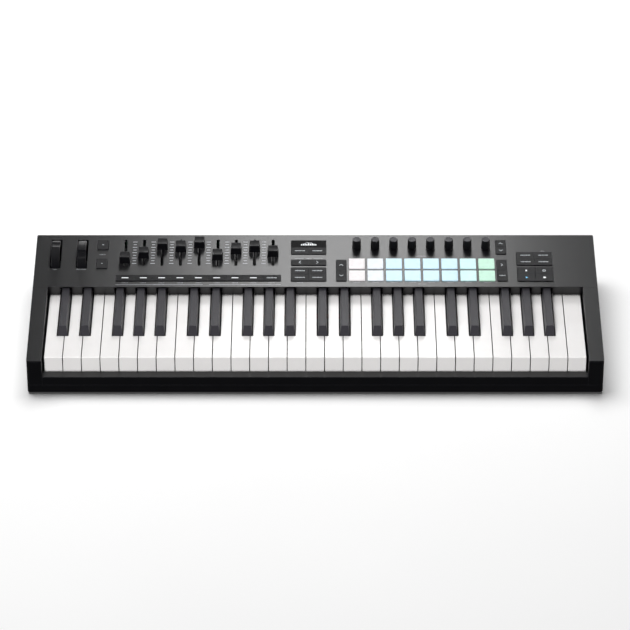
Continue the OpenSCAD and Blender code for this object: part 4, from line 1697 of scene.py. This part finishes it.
def all_blocks() -> list[ButtonBlock]:
    """The button blocks and their signs."""
    s = Symbol
    return [
        ButtonBlock("octave_up_button", 1, 1, [s.PLUS]),
        ButtonBlock("octave_down_button", 1, 1, [s.MINUS]),
        ButtonBlock("fader_buttons", 9, 1, [s.BAR] * 8 + [s.WORD]),
        ButtonBlock("menu_buttons", 2, 1, [s.WORD, s.WORD]),
        ButtonBlock("track_buttons", 2, 1, [s.LEFT, s.RIGHT]),
        ButtonBlock("mode_buttons", 2, 2, [s.WORD] * 4),
        ButtonBlock("pad_bank_buttons", 1, 2, [s.DOWN, s.UP]),
        ButtonBlock("encoder_bank_buttons", 1, 2, [s.DOWN, s.UP]),
        ButtonBlock("scene_buttons", 1, 2, [s.WORD, s.RIGHT]),
        ButtonBlock("edit_buttons", 2, 2, [s.WORD] * 4),
        ButtonBlock("transport_buttons", 2, 2, [s.PLAY, s.RECORD, s.STOP, s.LOOP]),
    ]


@dataclass
class PanelPrint:
    """The print on the panel: fader scales, rules and short legends."""

    tick_pitch: float = 5.6 * MM
    tick_count: int = 9
    tick_width: float = 1.05 * MM
    tick_long: float = 2.9 * MM
    tick_short: float = 2.0 * MM

    def build(self, panel: Panel) -> None:
        """Builds the print.

        Args:
            panel: The panel's frame.
        """
        marks = Marks(panel, LIFT)
        centres = []
        for number in range(1, Faders.count + 1):
            low, high = panel.outline(f"fader_{number}", FADER_CAP_FROM)
            centres.append((low.x + high.x) / 2)
            travel = joint(f"fader_{number}_slide")["range_m"]
            middle_v = (low.y + high.y) / 2 + sum(travel) / 2
        for left, right in zip(centres, centres[1:]):
            x = (left + right) / 2
            for k in range(self.tick_count):
                v = middle_v + (k - (self.tick_count - 1) / 2) * self.tick_pitch
                half = self.tick_short if k % 2 else self.tick_long
                marks.bar((x - half, v), (x + half, v), self.tick_width)
        self.below_strip(panel, marks)
        self.round_pads(panel, marks)
        self.round_wheels(panel, marks)
        # The print's faint glow is painted light.
        marks.build("panel_print", Finish.PRINT, "case", "case")

    @staticmethod
    def below_strip(panel: Panel, marks: Marks) -> None:
        """Prints the legends and rules under the fader buttons.

        Args:
            panel: The panel's frame.
            marks: Where the strokes go.
        """
        low, high = panel.outline("fader_buttons")
        count = Faders.count
        step = (high.x - low.x) / count
        for k in range(count):
            marks.word(low.x + (k + 0.5) * step, low.y - 3.2 * MM, 8 * MM, 0.8 * MM)
        rule = low.y - 6.8 * MM
        marks.bar((low.x, rule), (low.x + 4.75 * step, rule), 0.45 * MM)
        marks.bar((low.x + 5.1 * step, rule), (high.x, rule), 0.45 * MM)
        marks.word(low.x + 2.35 * step, rule, 14 * MM, 1.1 * MM)
        marks.word(low.x + 7.0 * step, rule, 10 * MM, 1.1 * MM)

    @staticmethod
    def round_pads(panel: Panel, marks: Marks) -> None:
        """Prints the legends round the pads and the middle blocks.

        Args:
            panel: The panel's frame.
            marks: Where the strokes go.
        """
        low, high = panel.outline("pad_row_front")
        size = high.y - low.y
        step = (high.x - low.x - size) / (Pads.count - 1)
        top = panel.outline("pad_row_rear")[1].y
        for k in range(Pads.count):
            x = low.x + size / 2 + k * step
            marks.word(x, low.y - 2.6 * MM, 9 * MM, 0.8 * MM)
            marks.word(x, top + 1.9 * MM, 10 * MM, 0.7 * MM)
        middle = (low.x + high.x) / 2
        marks.word(middle, top + 6.4 * MM, 15 * MM, 1.0 * MM)
        marks.word(middle, low.y - 5.8 * MM, 11 * MM, 0.9 * MM)
        low, high = panel.outline("edit_buttons")
        marks.word(low.x + 0.74 * (high.x - low.x), high.y + 2.8 * MM, 6 * MM, 0.9 * MM)
        low, high = panel.outline("track_buttons")
        x, v = (low.x + high.x) / 2, high.y + 3 * MM
        marks.word(x, v, 8 * MM, 0.9 * MM)
        for side in (-1, 1):
            marks.bar((x + side * 6.5 * MM, v), (x + side * 18 * MM, v), 0.35 * MM)
        low, high = panel.outline("mode_buttons")
        marks.word(low.x + 0.25 * (high.x - low.x), low.y - 2.6 * MM, 8 * MM, 0.8 * MM)

    @staticmethod
    def round_wheels(panel: Panel, marks: Marks) -> None:
        """Prints the legends under the wheels and between the octave buttons.

        Args:
            panel: The panel's frame.
            marks: Where the strokes go.
        """
        back = panel.matrix().inverted()
        for node, length in (("pitch_wheel", 5.5), ("modulation_wheel", 13.0)):
            place = back @ Vector(joint(node + "_turn")["pos_m"])
            marks.word(place.x, place.y - 32.0 * MM, length * MM, 0.9 * MM)
        upper, lower = panel.outline("octave_up_button"), panel.outline("octave_down_button")
        marks.word((upper[0].x + upper[1].x) / 2, (upper[0].y + lower[1].y) / 2, 8.0 * MM, 1.1 * MM)


# ---------------------------------------------------------------------------------------
# The studio
# ---------------------------------------------------------------------------------------

@dataclass(frozen=True)
class Softbox:
    """A rectangular soft light, which falls on the floor alone or on all but the floor."""

    name: str
    place: tuple[float, float, float]
    size: tuple[float, float]
    power: float
    aim: tuple[float, float, float] = (0.0, 0.0, 0.0)
    glossy: bool = True
    diffuse: bool = True
    floor_only: bool = False

    def build(self, floor: bpy.types.Object) -> None:
        """Adds the light.

        Args:
            floor: The floor, which the light is kept to or kept off.
        """
        data = bpy.data.lights.new(self.name, "AREA")
        data.shape = "RECTANGLE"
        data.size, data.size_y = self.size
        data.energy = self.power
        light = bpy.data.objects.new(self.name, data)
        bpy.context.scene.collection.objects.link(light)
        light.location = self.place
        facing = Vector(self.aim) - Vector(self.place)
        light.rotation_euler = facing.to_track_quat("-Z", "Y").to_euler()
        light.visible_glossy = self.glossy
        light.visible_diffuse = self.diffuse
        group = bpy.data.collections.new(self.name + "_receivers")
        group.objects.link(floor)
        group.collection_objects[0].light_linking.link_state = "INCLUDE" if self.floor_only else "EXCLUDE"
        light.light_linking.receiver_collection = group


SOFTBOXES = (
    Softbox("rear_softbox", (0.04, 0.97, 1.03), (0.46, 0.5), 6.8, aim=(0.04, 0.03, 0.06)),
    Softbox("top_softbox", (-0.5, 0.1, 3.2), (2.2, 1.6), 35),
    Softbox("front_softbox", (-0.8, -3.6, 2.4), (1.6, 1.6), 205, glossy=False),
    Softbox("back_rim", (0.6, 3.8, 0.7), (3.2, 1.2), 130, diffuse=False),
    Softbox("left_rim", (-3.6, 0.2, 0.7), (2.0, 1.2), 160, diffuse=False),
    Softbox("right_rim", (3.6, 0.2, 0.7), (2.0, 1.2), 160, diffuse=False),
    Softbox("floor_softbox", (-0.5, 1.0, 3.2), (3.4, 2.8), 158, floor_only=True),
)


@dataclass
class Studio:
    """A pale floor, soft lights and the camera."""

    camera_place: tuple[float, float, float] = (-0.00025, -4.0832, 2.8076)
    camera_pitch: float = 34.2
    lens: float = 220.1
    floor_size: float = 14.0
    floor_glow: float = 0.06
    floor_tones: tuple[float, float] = (0.93, 0.95)
    surround: float = 0.03

    def floor(self) -> bpy.types.Object:
        """Lays the floor.

        Returns:
            The floor.
        """
        clear_selection()
        bpy.ops.mesh.primitive_grid_add(x_subdivisions=4, y_subdivisions=4, size=self.floor_size,
                                        location=(0, 0, 0))
        floor = named_active("floor")
        recipe = Recipe("studio_floor")
        dark, light = ((tone, tone, tone, 1) for tone in self.floor_tones)
        tone = recipe.blend(recipe.ramp(recipe.noise(2.0), 0.0, 1.0), dark, light)
        recipe.feed("Base Color", tone)
        recipe.fix("Roughness", 0.9)
        recipe.fix("Specular IOR Level", 0.0)
        recipe.feed("Emission Color", tone)
        recipe.fix("Emission Strength", self.floor_glow)
        dress(floor, recipe.material)
        floor.visible_glossy = False
        floor.visible_diffuse = False
        return floor

    def camera(self) -> None:
        """Sets up the camera."""
        data = bpy.data.cameras.new("camera")
        data.lens = self.lens
        data.clip_end = 50
        camera = bpy.data.objects.new("camera", data)
        camera.location = self.camera_place
        camera.rotation_euler = (math.radians(90 - self.camera_pitch), 0, 0)
        bpy.context.scene.collection.objects.link(camera)
        bpy.context.scene.camera = camera

    def build(self) -> None:
        """Builds the whole studio."""
        scene = bpy.context.scene
        scene.view_settings.view_transform = "Standard"
        world = bpy.data.worlds.new("studio")
        scene.world = world
        world.use_nodes = True
        sky = world.node_tree.nodes["Background"]
        sky.inputs["Color"].default_value = (1, 1, 1, 1)
        sky.inputs["Strength"].default_value = self.surround
        floor = self.floor()
        for softbox in SOFTBOXES:
            softbox.build(floor)
        self.camera()


def main() -> None:
    """Builds the whole model."""
    logging.basicConfig(level=logging.INFO, format="%(name)s: %(message)s")
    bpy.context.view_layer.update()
    panel = Panel.from_frame()
    Case().build()
    Innards().build()
    Keybed().build()
    Wheels().build(panel)
    Faders().build(panel)
    Encoders().build(panel)
    for buttons in all_blocks():
        buttons.build(panel)
    Pads().build(panel)
    Display().build(panel)
    PanelPrint().build(panel)
    Studio().build()


if __name__ == "__main__":
    main()
